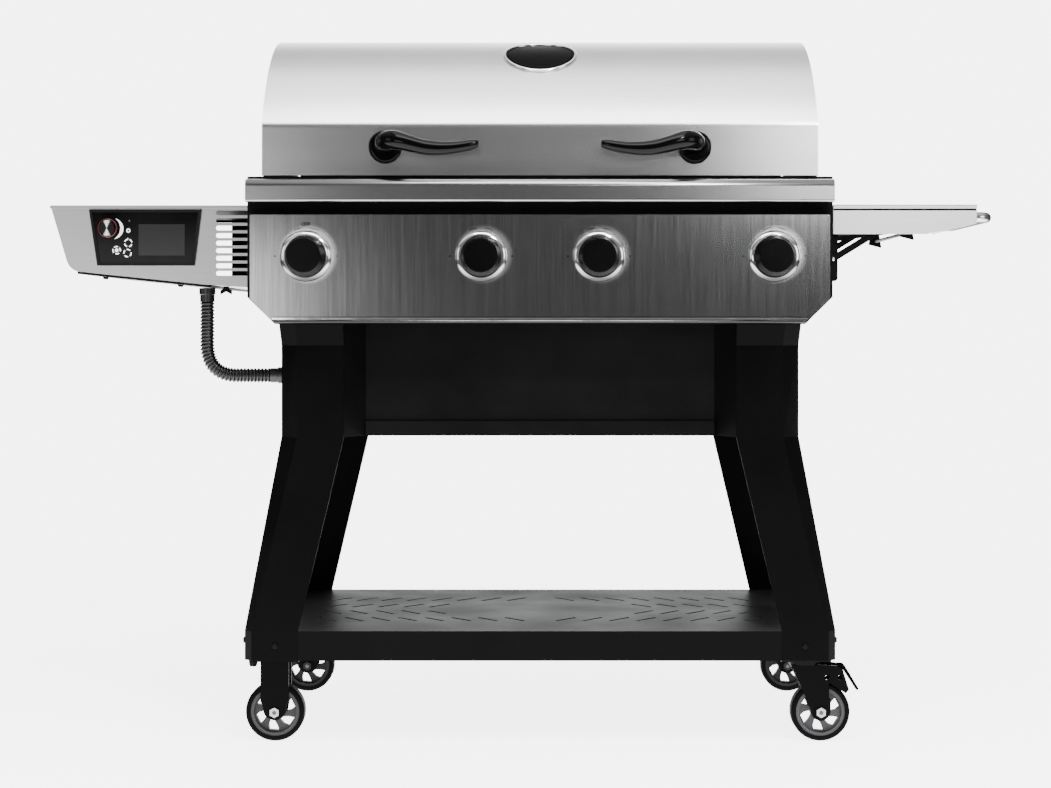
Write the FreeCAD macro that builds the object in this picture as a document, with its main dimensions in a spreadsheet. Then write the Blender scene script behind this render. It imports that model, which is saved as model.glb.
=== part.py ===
import FreeCAD, Part
import math
import os

import Sketcher

# Pellet grill on a wheeled cart, in millimetres.
# X runs to the right, the front faces -Y, Z is up, and the floor is Z = 0.
# Places are written from the middle of the cooking body.
# body_x and body_y then move everything so that the origin is under the middle of the whole grill.

doc = FreeCAD.newDocument("pellet_grill")
sheet = doc.addObject("Spreadsheet::Sheet", "Sizes")
sub_parts = []


class Size:
    """A length known both as a number and as an expression on the sheet."""

    def __init__(self, value, text):
        self.value = value
        self.text = text

    def __add__(self, other):
        other = as_size(other)
        return Size(self.value + other.value, f"({self.text} + {other.text})")

    def __sub__(self, other):
        other = as_size(other)
        return Size(self.value - other.value, f"({self.text} - {other.text})")

    def __mul__(self, other):
        other = as_size(other)
        return Size(self.value * other.value, f"({self.text} * {other.text})")

    def __truediv__(self, other):
        other = as_size(other)
        return Size(self.value / other.value, f"({self.text} / {other.text})")

    def __radd__(self, other):
        return as_size(other) + self

    def __rsub__(self, other):
        return as_size(other) - self

    def __rmul__(self, other):
        return as_size(other) * self

    def __neg__(self):
        return Size(-self.value, f"(0 - {self.text})")


def as_size(amount):
    if isinstance(amount, Size):
        return amount
    return Size(float(amount), f"({float(amount):.6f})")


def root_of(amount):
    return Size(math.sqrt(amount.value), f"sqrt({amount.text})")


def sine(angle):
    return Size(math.sin(math.radians(angle.value)), f"sin({angle.text})")


def cosine(angle):
    return Size(math.cos(math.radians(angle.value)), f"cos({angle.text})")


def size(alias, value):
    """Writes one driving dimension on the next row of the sheet."""
    size.row += 1
    cell = f"A{size.row}"
    sheet.set(cell, str(value))
    sheet.setAlias(cell, alias)
    return Size(float(value), f"Sizes.{alias}")


size.row = 0

# Sheet metal and fits
sheet_wall = size("sheet_wall", 1.5)
plate_wall = size("plate_wall", 2)
leg_wall = size("leg_wall", 2.5)
running_gap = size("running_gap", 0.3)
pin_clearance = size("pin_clearance", 0.08)

# Casters
wheel_diameter = size("wheel_diameter", 100)
tyre_width = size("tyre_width", 30)
tyre_depth = size("tyre_depth", 8.5)
tyre_shoulder = size("tyre_shoulder", 5)
rim_band = size("rim_band", 5.5)
rim_width = size("rim_width", 26)
web_thickness = size("web_thickness", 9)
hub_radius = size("hub_radius", 13)
hub_length = size("hub_length", 32)
axle_radius = size("axle_radius", 5)
axle_head_flats = size("axle_head_flats", 15)
axle_head_height = size("axle_head_height", 6)
fork_wall = size("fork_wall", 3)
fork_top_width = size("fork_top_width", 48)
fork_end_radius = size("fork_end_radius", 14)
fork_shoulder = size("fork_shoulder", 18)
caster_height = size("caster_height", 140)
caster_x = size("caster_x", 450)
caster_y = size("caster_y", 238)
caster_plate_length = size("caster_plate_length", 84)
caster_plate_width = size("caster_plate_width", 62)
swivel_trail = size("swivel_trail", 26)
raceway_radius = size("raceway_radius", 25)
raceway_height = size("raceway_height", 7)
kingpin_radius = size("kingpin_radius", 6)
pedal_reach = size("pedal_reach", 40)
pedal_drop = size("pedal_drop", 33)
pedal_knee = size("pedal_knee", 20)
pedal_wall = size("pedal_wall", 3)
pedal_toe = size("pedal_toe", 4)
ear_root_rise = size("ear_root_rise", 50)
ear_tip_out = size("ear_tip_out", 48)
ear_tip_rise = size("ear_tip_rise", 38)
ear_tip_width = size("ear_tip_width", 6)
ear_crest = size("ear_crest", 16)
ear_inner_hole_out = size("ear_inner_hole_out", 11)
ear_outer_hole_out = size("ear_outer_hole_out", 33)
ear_hole_rise = size("ear_hole_rise", 59)
ear_hole_radius = size("ear_hole_radius", 4.5)
pedal_width = size("pedal_width", 30)
pedal_pivot_out = size("pedal_pivot_out", 47)
pedal_pivot_drop = size("pedal_pivot_drop", 17)
pedal_pin_radius = size("pedal_pin_radius", 3)

# Legs
foot_height = size("foot_height", 50)
foot_inner_x = size("foot_inner_x", 408)
foot_outer_x = size("foot_outer_x", 500)
foot_front = size("foot_front", 275)
foot_chamfer = size("foot_chamfer", 13)
knee_height = size("knee_height", 517)
knee_inner_x = size("knee_inner_x", 331)
knee_outer_x = size("knee_outer_x", 440)
knee_front = size("knee_front", 273)
knee_chamfer = size("knee_chamfer", 30)
leg_side_width = size("leg_side_width", 85)
shoulder_height = size("shoulder_height", 672)
leg_top = size("leg_top", 708)
shoulder_flare_x = size("shoulder_flare_x", 3)
shoulder_flare_y = size("shoulder_flare_y", 11)

# Bottom shelf
slot_length = size("slot_length", 54)
slot_width = size("slot_width", 7)
slot_angle = 50
slot_pitch = size("slot_pitch", 47)
slot_row_pitch = size("slot_row_pitch", 88)
slot_first_x = size("slot_first_x", 45)
long_row_slots = 8
short_row_slots = 5

# Cabinet between the legs
recess_half_width = size("recess_half_width", 299)
recess_front = size("recess_front", 215)
lip_height = size("lip_height", 25)
lip_depth = size("lip_depth", 6)

# Cooking body
firebox_half_width = size("firebox_half_width", 490)
firebox_front = size("firebox_front", 300)
firebox_rear = size("firebox_rear", 200)
firebox_top = size("firebox_top", 955)
deck_rear = size("deck_rear", 284)
side_ledge = size("side_ledge", 48)
grate_rail_width = size("grate_rail_width", 12)
grate_seat = size("grate_seat", 935)
tray_seat = size("tray_seat", 866)
tray_lug = size("tray_lug", 16)

# Hood
hood_inset = size("hood_inset", 24)
hood_half_width = firebox_half_width - hood_inset
hood_end_wall = size("hood_end_wall", 2)
hood_bottom = size("hood_bottom", 957)
hood_band_top = size("hood_band_top", 1037)
hood_bend_radius = size("hood_bend_radius", 22)
hood_bend_angle = size("hood_bend_angle", 30)
hood_roof_radius = size("hood_roof_radius", 340)
hood_side_gap = size("hood_side_gap", 2)
back_top_gap = size("back_top_gap", 9)

# Hood hinges
hinge_x = size("hinge_x", 330)
hinge_width = size("hinge_width", 60)
hinge_ear_width = size("hinge_ear_width", 14)
hinge_ear_radius = size("hinge_ear_radius", 8)
hinge_pin_radius = size("hinge_pin_radius", 4)
hinge_back = size("hinge_back", 16)
hinge_drop = size("hinge_drop", 9)
hinge_leaf_wall = size("hinge_leaf_wall", 3)
hinge_leaf_angle = size("hinge_leaf_angle", 7)
hinge_plate_height = size("hinge_plate_height", 46)
hinge_web_drop = size("hinge_web_drop", 36.8)

# Horn handles
handle_x = size("handle_x", 259)
handle_z = size("handle_z", 1004)
rosette_radius = size("rosette_radius", 28)
rosette_height = size("rosette_height", 9)
handle_standoff = size("handle_standoff", 55.5)
handle_length = size("handle_length", 158)
handle_root_diameter = size("handle_root_diameter", 34)

# Front rail
rail_inset = size("rail_inset", 4)
rail_half_width = firebox_half_width - rail_inset
rail_front = size("rail_front", 355)
rail_bottom = size("rail_bottom", 910)
rail_top = size("rail_top", 947.5)
rail_round = size("rail_round", 12)
rail_return = size("rail_return", 22)

# Control panel and knobs
panel_inset = size("panel_inset", 7)
panel_half_width = firebox_half_width - panel_inset
panel_bottom = size("panel_bottom", 710)
panel_top = size("panel_top", 890)
panel_front = size("panel_front", 320)
panel_chamfer_x = size("panel_chamfer_x", 39)
panel_chamfer_z = size("panel_chamfer_z", 41)
firebox_bevel_gap = size("firebox_bevel_gap", 4)
firebox_bevel_x = panel_inset + panel_chamfer_x
firebox_bevel_z = panel_chamfer_z + firebox_bevel_gap
deck_half_width = firebox_half_width - firebox_bevel_x
wall_foot = leg_top + firebox_bevel_z
hem_radius = size("hem_radius", 2.5)
hem_sink = size("hem_sink", 0.8)
knob_side_gap = size("knob_side_gap", 93)
outer_knob_x = panel_half_width - knob_side_gap
inner_knob_x = size("inner_knob_x", 98)
knob_z = size("knob_z", 821)
bezel_radius = size("bezel_radius", 43)
bezel_height = size("bezel_height", 8)
bezel_floor = size("bezel_floor", 2)
bezel_edge = size("bezel_edge", 2.5)
bezel_crest_radius = size("bezel_crest_radius", 36.5)
bezel_curve = size("bezel_curve", 10)
bezel_gap = size("bezel_gap", 0.8)
knob_radius = size("knob_radius", 34)
knob_face_radius = size("knob_face_radius", 27)
knob_height = size("knob_height", 34)
knob_skirt = size("knob_skirt", 15.3)
knob_shaft_radius = size("knob_shaft_radius", 4)
knob_shaft_length = size("knob_shaft_length", 16)

# Left shelf with the controller
shelf_front = size("shelf_front", 260)
shelf_rear = size("shelf_rear", 180)
shelf_top = size("shelf_top", 909)
left_shelf_length = size("left_shelf_length", 339.5)
left_reach = firebox_half_width + left_shelf_length
shelf_end_slant = size("shelf_end_slant", 26.9)
shelf_end_bottom_x = left_reach - shelf_end_slant
shelf_end_bottom_z = size("shelf_end_bottom_z", 818)
shelf_low_inset = size("shelf_low_inset", 45.9)
shelf_low_x = left_reach - shelf_low_inset
shelf_low_z = size("shelf_low_z", 797)
shelf_corner_radius = size("shelf_corner_radius", 28)
shelf_knee_out = size("shelf_knee_out", 79)
shelf_knee_x = firebox_half_width + shelf_knee_out
shelf_knee_z = size("shelf_knee_z", 775)
shelf_root_z = size("shelf_root_z", 770)
shelf_lip_height = size("shelf_lip_height", 5.5)
shelf_lip_depth = size("shelf_lip_depth", 3)
vent_out = size("vent_out", 6)
vent_length = size("vent_length", 53)
vent_inner_x = firebox_half_width + vent_out
vent_outer_x = vent_inner_x + vent_length
vent_height = size("vent_height", 8)
vent_pitch = size("vent_pitch", 12.8)
vent_low_z = size("vent_low_z", 790)
vent_count = 9
rear_window_out = size("rear_window_out", 100)
rear_window_length = size("rear_window_length", 100)
rear_window_low = size("rear_window_low", 792)
rear_window_high = size("rear_window_high", 903)
pan_wall = size("pan_wall", 4)
pan_end_out = size("pan_end_out", 67)
pan_end_x = firebox_half_width + pan_end_out
bezel_top_z = size("bezel_top_z", 902)
bezel_bottom_z = size("bezel_bottom_z", 807)
controller_out = size("controller_out", 83)
controller_width = size("controller_width", 190)
controller_left_slant = size("controller_left_slant", 14)
controller_right_slant = size("controller_right_slant", 12)
bezel_top_right = firebox_half_width + controller_out
bezel_top_left = bezel_top_right + controller_width
bezel_bottom_left = bezel_top_left - controller_left_slant
bezel_bottom_right = bezel_top_right + controller_right_slant
controller_depth = size("controller_depth", 6)
controller_rim = size("controller_rim", 5)
glass_sink = size("glass_sink", 2)
dial_inset = size("dial_inset", 33)
dial_x = bezel_top_left - dial_inset
dial_z = size("dial_z", 870)
dial_radius = size("dial_radius", 16)
dial_height = size("dial_height", 15)
dial_skirt = size("dial_skirt", 8)
dial_face_radius = size("dial_face_radius", 12.8)
button_inset = size("button_inset", 67)
button_x = bezel_top_left - button_inset
button_z = size("button_z", 866)
button_radius = size("button_radius", 5)
button_height = size("button_height", 4.5)
button_seat = size("button_seat", 2)
screen_left_inset = size("screen_left_inset", 84)
screen_right_inset = size("screen_right_inset", 28)
screen_left = bezel_top_left - screen_left_inset
screen_right = bezel_top_right + screen_right_inset
screen_low = size("screen_low", 824)
screen_high = size("screen_high", 877)
screen_wall = size("screen_wall", 1)

# Wiring conduit
hose_radius = size("hose_radius", 11.5)
hose_valley_radius = size("hose_valley_radius", 9.8)
hose_bore_radius = size("hose_bore_radius", 8)
hose_bend_radius = size("hose_bend_radius", 55)
hose_out = size("hose_out", 83.5)
hose_x = firebox_half_width + hose_out
hose_y = size("hose_y", 200)
hose_z = size("hose_z", 620)
hose_rib_count = 40
hose_plain_end = size("hose_plain_end", 5.75)
# Shares of one rib pitch at which the rise ends, the crest ends and the fall ends
rib_rise_end = 0.25
rib_crest_end = 0.6
rib_fall_end = 0.85
gland_length = size("gland_length", 24)
gland_nut_length = size("gland_nut_length", 10.8)
gland_nut_bevel = size("gland_nut_bevel", 1.2)
gland_radius = size("gland_radius", 14)
gland_drop = size("gland_drop", 0.7)

# Right folding shelf
tray_gap = size("tray_gap", 10.5)
right_shelf_length = size("right_shelf_length", 294)
bar_standoff = size("bar_standoff", 37.5)
tray_taper_run = size("tray_taper_run", 87.5)
tray_left = firebox_half_width + tray_gap
right_reach = firebox_half_width + right_shelf_length
tray_right = right_reach - bar_standoff
tray_taper_x = tray_right - tray_taper_run
tray_front = size("tray_front", 230)
tray_rear = size("tray_rear", 170)
tray_top = size("tray_top", 912)
tray_skirt = size("tray_skirt", 50)
tray_end_skirt = size("tray_end_skirt", 32)
tray_rear_skirt = size("tray_rear_skirt", 24)
bar_radius = size("bar_radius", 9)
bar_z = size("bar_z", 893)
bar_bend = size("bar_bend", 24)
bar_inset = size("bar_inset", 40)
bracket_front_y = size("bracket_front_y", 205)
bracket_rear_y = size("bracket_rear_y", 145)
bracket_wall = size("bracket_wall", 3)
bracket_half_width = size("bracket_half_width", 15)
bracket_low_z = size("bracket_low_z", 782)
bracket_high_z = size("bracket_high_z", 905)
ear_reach = size("ear_reach", 22)
ear_round = size("ear_round", 6)
fold_out = size("fold_out", 18)
fold_x = firebox_half_width + fold_out
fold_run = tray_right - fold_x
fold_z = size("fold_z", 868)
strut_out = size("strut_out", 13)
strut_x = firebox_half_width + strut_out
strut_z = size("strut_z", 820)
strut_share = size("strut_share", 0.39)
strut_end_x = fold_x + fold_run * strut_share
strut_end_z = size("strut_end_z", 880)
strut_half_width = size("strut_half_width", 5.5)
arm_share = size("arm_share", 0.77)
arm_end_x = fold_x + fold_run * arm_share
bracket_pin_radius = size("bracket_pin_radius", 4)
lever_share = size("lever_share", 0.52)
lever_x = fold_x + fold_run * lever_share
lever_z = size("lever_z", 888)
lever_low_z = size("lever_low_z", 853)
lever_pin_radius = size("lever_pin_radius", 3)
lever_half_width = size("lever_half_width", 12)

# Pellet feed, fire and drainage
hopper_half_width = size("hopper_half_width", 330)
hopper_depth = size("hopper_depth", 168)
hopper_bottom = size("hopper_bottom", 776)
hopper_top = size("hopper_top", 985)
hopper_hinge_radius = size("hopper_hinge_radius", 5)
hopper_pin_radius = size("hopper_pin_radius", 2.5)
hopper_knuckle = size("hopper_knuckle", 100)
feed_x = size("feed_x", 225)
feed_z = size("feed_z", 746)
feed_tube_radius = size("feed_tube_radius", 23)
feed_tube_wall = size("feed_tube_wall", 2)
feed_tube_rear = size("feed_tube_rear", 330)
throat_half_x = size("throat_half_x", 20)
throat_half_y = size("throat_half_y", 40)
throat_y = size("throat_y", 270)
auger_radius = size("auger_radius", 19.5)
auger_shaft_radius = size("auger_shaft_radius", 7)
auger_pitch = size("auger_pitch", 42)
auger_flight_wall = size("auger_flight_wall", 3)
motor_half_width = size("motor_half_width", 28)
motor_can_radius = size("motor_can_radius", 19.6)
gearbox_depth = size("gearbox_depth", 16)
motor_can_depth = size("motor_can_depth", 24)
motor_socket_depth = size("motor_socket_depth", 12)
auger_engagement = size("auger_engagement", 10)
pot_y = size("pot_y", 50)
pot_radius = size("pot_radius", 55)
pot_height = size("pot_height", 86)
pot_wall = size("pot_wall", 3)
igniter_radius = size("igniter_radius", 5)
igniter_length = size("igniter_length", 70)
igniter_z = size("igniter_z", 728)
blower_radius = size("blower_radius", 52)
blower_height = size("blower_height", 46)
blower_neck_radius = size("blower_neck_radius", 28)
blower_neck = size("blower_neck", 10)
air_hole_radius = size("air_hole_radius", 22)
deflector_half_width = size("deflector_half_width", 130)
deflector_eave = size("deflector_eave", 830)
deflector_ridge = size("deflector_ridge", 848)
deflector_front = size("deflector_front", 200)
deflector_rear = size("deflector_rear", 110)
drip_front = size("drip_front", 262)
drip_rear = size("drip_rear", 168)
drip_wall_height = size("drip_wall_height", 18)
drain_radius = size("drain_radius", 12)
drain_low_z = size("drain_low_z", 600)
cup_radius = size("cup_radius", 48)
cup_height = size("cup_height", 78)
cup_y = size("cup_y", 60)
grate_count = 3
grate_gap = size("grate_gap", 3)
grate_bar_width = size("grate_bar_width", 7)
bars_per_grate = 15
probe_radius = size("probe_radius", 3)
probe_reach = size("probe_reach", 80)
probe_z = size("probe_z", 1000)
exhaust_count = 6
exhaust_width = size("exhaust_width", 90)
exhaust_height = size("exhaust_height", 14)
exhaust_pitch = size("exhaust_pitch", 132)
exhaust_z = size("exhaust_z", 1080)
inlet_x = size("inlet_x", 250)
inlet_z = size("inlet_z", 600)
inlet_half_width = size("inlet_half_width", 24)
inlet_half_height = size("inlet_half_height", 14)
inlet_depth = size("inlet_depth", 7)
screw_radius = size("screw_radius", 5)
screw_height = size("screw_height", 3.5)
screw_edge = size("screw_edge", 1.4)
screw_flat_radius = size("screw_flat_radius", 3)
wing_out = size("wing_out", 51)
wing_x = firebox_half_width + wing_out

# Worked-out places
# Tangent of half the angle of a 45 degree fold
half_turn_fold = math.tan(math.radians(22.5))
# Share of the root diameter by which the horn stands out past its own middle line
handle_bulge = 0.418
# A half circle drawn a hair larger than its chord, so that it is always a minor arc
arc_slack = 1.0001
radians_per_degree = math.pi / 180
foot_top = caster_height + foot_height
wheel_radius = wheel_diameter / 2
hood_front = firebox_front
bend_end_y = hood_bend_radius * (1 - cosine(hood_bend_angle)) - hood_front
roof_y = bend_end_y + hood_roof_radius * cosine(hood_bend_angle)
bend_end_z = hood_band_top + hood_bend_radius * sine(hood_bend_angle)
roof_z = bend_end_z - hood_roof_radius * sine(hood_bend_angle)
hood_rear_run = firebox_rear - roof_y
hood_rear_z = roof_z + root_of(hood_roof_radius * hood_roof_radius - hood_rear_run * hood_rear_run)
hinge_y = firebox_rear + hinge_back
hinge_z = hood_rear_z - hinge_drop
back_top = hood_rear_z - sheet_wall - back_top_gap
hopper_front = firebox_rear + plate_wall
hopper_rear = hopper_front + hopper_depth
hopper_hinge_y = hopper_rear + hopper_hinge_radius
front_reach = hood_front + handle_standoff + handle_root_diameter * handle_bulge
rear_reach = hopper_hinge_y + hopper_hinge_radius
body_x = (left_reach - right_reach) / 2
body_y = (front_reach - rear_reach) / 2
deck_top = leg_top + plate_wall
tray_skirt_low = tray_top - tray_skirt
gland_top = shelf_knee_z - pan_wall - gland_drop
glass_front = shelf_front + controller_depth - glass_sink


def bind(item, name, amount):
    item.setExpression(name, as_size(amount).text)


def place(item, x=0, y=0, z=0):
    """Puts an object at a place measured from the middle of the cooking body."""
    bind(item, "Placement.Base.x", body_x + x)
    bind(item, "Placement.Base.y", body_y + y)
    bind(item, "Placement.Base.z", z)


def turn(item, axis, angle):
    item.Placement = FreeCAD.Placement(item.Placement.Base, FreeCAD.Rotation(axis, angle))


AXIS_X = FreeCAD.Vector(1, 0, 0)
AXIS_Y = FreeCAD.Vector(0, 1, 0)
AXIS_Z = FreeCAD.Vector(0, 0, 1)


def sub_part(label, members):
    """Registers a node: one object, or several that stay separate solids."""
    if len(members) == 1:
        item = members[0]
    else:
        item = doc.addObject("Part::Compound", label + "_set")
        item.Links = members
    item.Label = label
    sub_parts.append(item)


def box(name, x, y, z):
    """A block between two values on each axis."""
    item = doc.addObject("Part::Box", name)
    bind(item, "Length", as_size(x[1]) - x[0])
    bind(item, "Width", as_size(y[1]) - y[0])
    bind(item, "Height", as_size(z[1]) - z[0])
    place(item, x[0], y[0], z[0])
    return item


def rod(name, radius, length, start, along):
    """A round bar from a start point along X, Y or Z."""
    item = doc.addObject("Part::Cylinder", name)
    if along == "x":
        turn(item, AXIS_Y, 90)
    if along == "y":
        turn(item, AXIS_X, -90)
    bind(item, "Radius", radius)
    bind(item, "Height", length)
    place(item, *start)
    return item


def cut(name, base, tools):
    tool = tools[0]
    if len(tools) > 1:
        tool = doc.addObject("Part::Compound", name + "_tools")
        tool.Links = tools
    item = doc.addObject("Part::Cut", name)
    item.Base = base
    item.Tool = tool
    return item


def fuse(name, members):
    item = doc.addObject("Part::MultiFuse", name)
    item.Shapes = members
    item.Refine = True
    return item


def mirror(name, source, normal):
    """The same piece on the other side of the body's middle plane."""
    item = doc.addObject("Part::Mirroring", name)
    item.Source = source
    item.Normal = normal
    bind(item, "Base.x", body_x)
    bind(item, "Base.y", body_y)
    return item


def new_body(name):
    body = doc.addObject("PartDesign::Body", name)
    place(body)
    return body


def new_sketch(body, name, role, offset):
    sketch = body.newObject("Sketcher::SketchObject", name)
    plane = [item for item in body.Origin.OriginFeatures if item.Role == role][0]
    sketch.AttachmentSupport = [(plane, "")]
    sketch.MapMode = "FlatFace"
    bind(sketch, "AttachmentOffset.Base.z", offset)
    return sketch


def arc_between(start, end, radius):
    """A minor arc; a positive radius turns left on the way, a negative one right."""
    run = end - start
    height = math.sqrt(max(radius * radius - run.Length ** 2 / 4, 0))
    left = FreeCAD.Vector(-run.y, run.x, 0).normalize()
    centre = (start + end) / 2 + left * math.copysign(height, radius)
    circle = Part.Circle(centre, AXIS_Z, abs(radius))
    first, last = (start, end) if radius > 0 else (end, start)
    first_angle = math.atan2(first.y - centre.y, first.x - centre.x)
    last_angle = math.atan2(last.y - centre.y, last.x - centre.x)
    return Part.ArcOfCircle(circle, first_angle, last_angle)


def draw_outline(sketch, corners):
    """Draws a closed outline; a third value on a corner makes the next edge an arc of that radius."""
    corners = [[as_size(amount) for amount in corner] for corner in corners]
    points = [FreeCAD.Vector(corner[0].value, corner[1].value, 0) for corner in corners]
    first = sketch.GeometryCount
    count = len(corners)
    ends = []
    edges = []
    for index, corner in enumerate(corners):
        start = points[index]
        end = points[(index + 1) % count]
        if len(corner) == 3:
            edges.append(arc_between(start, end, corner[2].value))
            ends.append((1, 2) if corner[2].value > 0 else (2, 1))
        else:
            edges.append(Part.LineSegment(start, end))
            ends.append((1, 2))
    sketch.addGeometry(edges, False)
    rules = []
    bound = []
    for index, corner in enumerate(corners):
        edge = first + index
        following = first + (index + 1) % count
        start, end = ends[index]
        rules.append(Sketcher.Constraint("Coincident", edge, end, following, ends[(index + 1) % count][0]))
        for kind, axis, amount in (("DistanceX", -2, corner[0]), ("DistanceY", -1, corner[1])):
            if amount.value == 0:
                rules.append(Sketcher.Constraint("PointOnObject", edge, start, axis))
            else:
                bound.append((len(rules), amount))
                rules.append(Sketcher.Constraint(kind, -1, 1, edge, start, amount.value))
        if len(corner) == 3:
            reach = corner[2] if corner[2].value > 0 else -corner[2]
            bound.append((len(rules), reach))
            rules.append(Sketcher.Constraint("Radius", edge, reach.value))
    offset = sketch.ConstraintCount
    sketch.addConstraint(rules)
    for index, amount in bound:
        bind(sketch, f"Constraints[{offset + index}]", amount)


def draw_circle(sketch, x, z, radius):
    x, z, radius = as_size(x), as_size(z), as_size(radius)
    centre = FreeCAD.Vector(x.value, z.value, 0)
    edge = sketch.addGeometry(Part.Circle(centre, AXIS_Z, radius.value), False)
    for kind, axis, amount in (("DistanceX", -2, x), ("DistanceY", -1, z)):
        if amount.value == 0:
            sketch.addConstraint(Sketcher.Constraint("PointOnObject", edge, 3, axis))
        else:
            rule = sketch.addConstraint(Sketcher.Constraint(kind, -1, 1, edge, 3, amount.value))
            bind(sketch, f"Constraints[{rule}]", amount)
    rule = sketch.addConstraint(Sketcher.Constraint("Radius", edge, radius.value))
    bind(sketch, f"Constraints[{rule}]", radius)


def prism(name, role, outlines, low, high, circles=()):
    """A padded profile between two values on the axis that its plane faces."""
    low, high = as_size(low), as_size(high)
    body = new_body(name)
    sketch = new_sketch(body, name + "_profile", role, -high if role == "XZ_Plane" else low)
    for corners in outlines:
        draw_outline(sketch, corners)
    for circle in circles:
        draw_circle(sketch, *circle)
    pad = body.newObject("PartDesign::Pad", name + "_pad")
    pad.Profile = sketch
    bind(pad, "Length", high - low)
    return body


def turned(name, corners):
    """A profile of radius and height turned about its own height axis."""
    body = new_body(name)
    sketch = new_sketch(body, name + "_profile", "XZ_Plane", 0)
    draw_outline(sketch, corners)
    revolution = body.newObject("PartDesign::Revolution", name + "_turn")
    revolution.Profile = sketch
    revolution.ReferenceAxis = (sketch, ["V_Axis"])
    revolution.Angle = 360
    return body


def facing_front(body, x, y, z):
    """Points a turned piece's height towards the front."""
    turn(body, AXIS_X, 90)
    place(body, x, y, z)
    return body


def rectangle(x, z):
    return [(x[0], z[0]), (x[1], z[0]), (x[1], z[1]), (x[0], z[1])]


# Legs, cabinet and bottom shelf

def leg_section(inner_x, outer_x, front, chamfer):
    """The folded sheet in plan: front face, bevel and side face, with its inner side."""
    fold = leg_wall * half_turn_fold
    side_end = chamfer + leg_side_width - front
    return [
        (inner_x, -front),
        (outer_x - chamfer, -front),
        (outer_x, chamfer - front),
        (outer_x, side_end),
        (outer_x - leg_wall, side_end),
        (outer_x - leg_wall, chamfer + fold - front),
        (outer_x - chamfer - fold, leg_wall - front),
        (inner_x, leg_wall - front),
    ]


def right_front_leg():
    body = new_body("right_front_leg_sheet")
    foot = (foot_inner_x, foot_outer_x, foot_front, foot_chamfer)
    knee = (knee_inner_x, knee_outer_x, knee_front, knee_chamfer)
    shoulder = (
        knee_inner_x,
        knee_outer_x + shoulder_flare_x,
        knee_front + shoulder_flare_y,
        knee_chamfer,
    )
    levels = [
        (caster_height, foot),
        (foot_top, foot),
        (knee_height, knee),
        (shoulder_height, knee),
        (leg_top, shoulder),
    ]
    sketches = []
    for number, (level, section) in enumerate(levels):
        sketch = new_sketch(body, f"leg_section_{number}", "XY_Plane", level)
        draw_outline(sketch, leg_section(*section))
        sketches.append(sketch)
    loft = body.newObject("PartDesign::AdditiveLoft", "leg_loft")
    loft.Profile = sketches[0]
    loft.Sections = sketches[1:]
    loft.Ruled = True
    base = prism(
        "foot_base",
        "XY_Plane",
        [[
            (foot_inner_x, leg_wall - foot_front),
            (foot_outer_x - foot_chamfer - leg_wall, leg_wall - foot_front),
            (foot_outer_x - leg_wall, foot_chamfer + leg_wall - foot_front),
            (foot_outer_x - leg_wall, foot_chamfer + leg_side_width - foot_front),
            (foot_inner_x, foot_chamfer + leg_side_width - foot_front),
        ]],
        caster_height,
        caster_height + fork_wall,
    )
    return fuse("right_front_leg", [body, base])


def legs():
    right_front = right_front_leg()
    left_front = mirror("left_front_leg", right_front, AXIS_X)
    right_rear = mirror("right_rear_leg", right_front, AXIS_Y)
    left_rear = mirror("left_rear_leg", left_front, AXIS_Y)
    sub_part("front_legs", [left_front, right_front])
    sub_part("rear_legs", [left_rear, right_rear])


def slot_cutters():
    """Slanted slots in four rows that make a wide diamond about the middle."""
    cutters = []
    rows = [
        (1.5, long_row_slots, 1),
        (0.5, short_row_slots, 1),
        (-0.5, short_row_slots, -1),
        (-1.5, long_row_slots, -1),
    ]
    for row, count, lean in rows:
        skipped = long_row_slots - count
        for side in (-1, 1):
            for number in range(count):
                cutter = doc.addObject("Part::Box", "shelf_slot")
                angle = -side * lean * slot_angle
                turn(cutter, AXIS_Z, angle)
                bind(cutter, "Length", slot_length)
                bind(cutter, "Width", slot_width)
                bind(cutter, "Height", plate_wall * 3)
                across = math.cos(math.radians(angle)) / 2
                along = math.sin(math.radians(angle)) / 2
                middle_x = side * (slot_first_x + slot_pitch * (number + skipped))
                middle_y = slot_row_pitch * row
                corner_x = middle_x - slot_length * across + slot_width * along
                corner_y = middle_y - slot_length * along - slot_width * across
                place(cutter, corner_x, corner_y, foot_top - plate_wall * 2)
                cutters.append(cutter)
    return cutters


def bottom_shelf():
    inner_x = foot_outer_x - leg_wall
    inner_y = foot_front - leg_wall
    corner = foot_chamfer + leg_wall
    outline = [
        (-foot_inner_x, -foot_front),
        (foot_inner_x, -foot_front),
        (foot_inner_x, -inner_y),
        (inner_x - corner, -inner_y),
        (inner_x, corner - inner_y),
        (inner_x, inner_y - corner),
        (inner_x - corner, inner_y),
        (foot_inner_x, inner_y),
        (foot_inner_x, foot_front),
        (-foot_inner_x, foot_front),
        (-foot_inner_x, inner_y),
        (corner - inner_x, inner_y),
        (-inner_x, inner_y - corner),
        (-inner_x, corner - inner_y),
        (corner - inner_x, -inner_y),
        (-foot_inner_x, -inner_y),
    ]
    plate = prism("shelf_plate", "XY_Plane", [outline], foot_top - plate_wall, foot_top)
    slotted = cut("slotted_shelf_plate", plate, slot_cutters())
    lip_x = (-foot_inner_x, foot_inner_x)
    lip_z = (caster_height, foot_top - plate_wall)
    front_lip = box("shelf_front_lip", lip_x, (-foot_front, plate_wall - foot_front), lip_z)
    rear_lip = box("shelf_rear_lip", lip_x, (foot_front - plate_wall, foot_front), lip_z)
    sub_part("bottom_shelf", [fuse("folded_bottom_shelf", [slotted, front_lip, rear_lip])])


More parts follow.
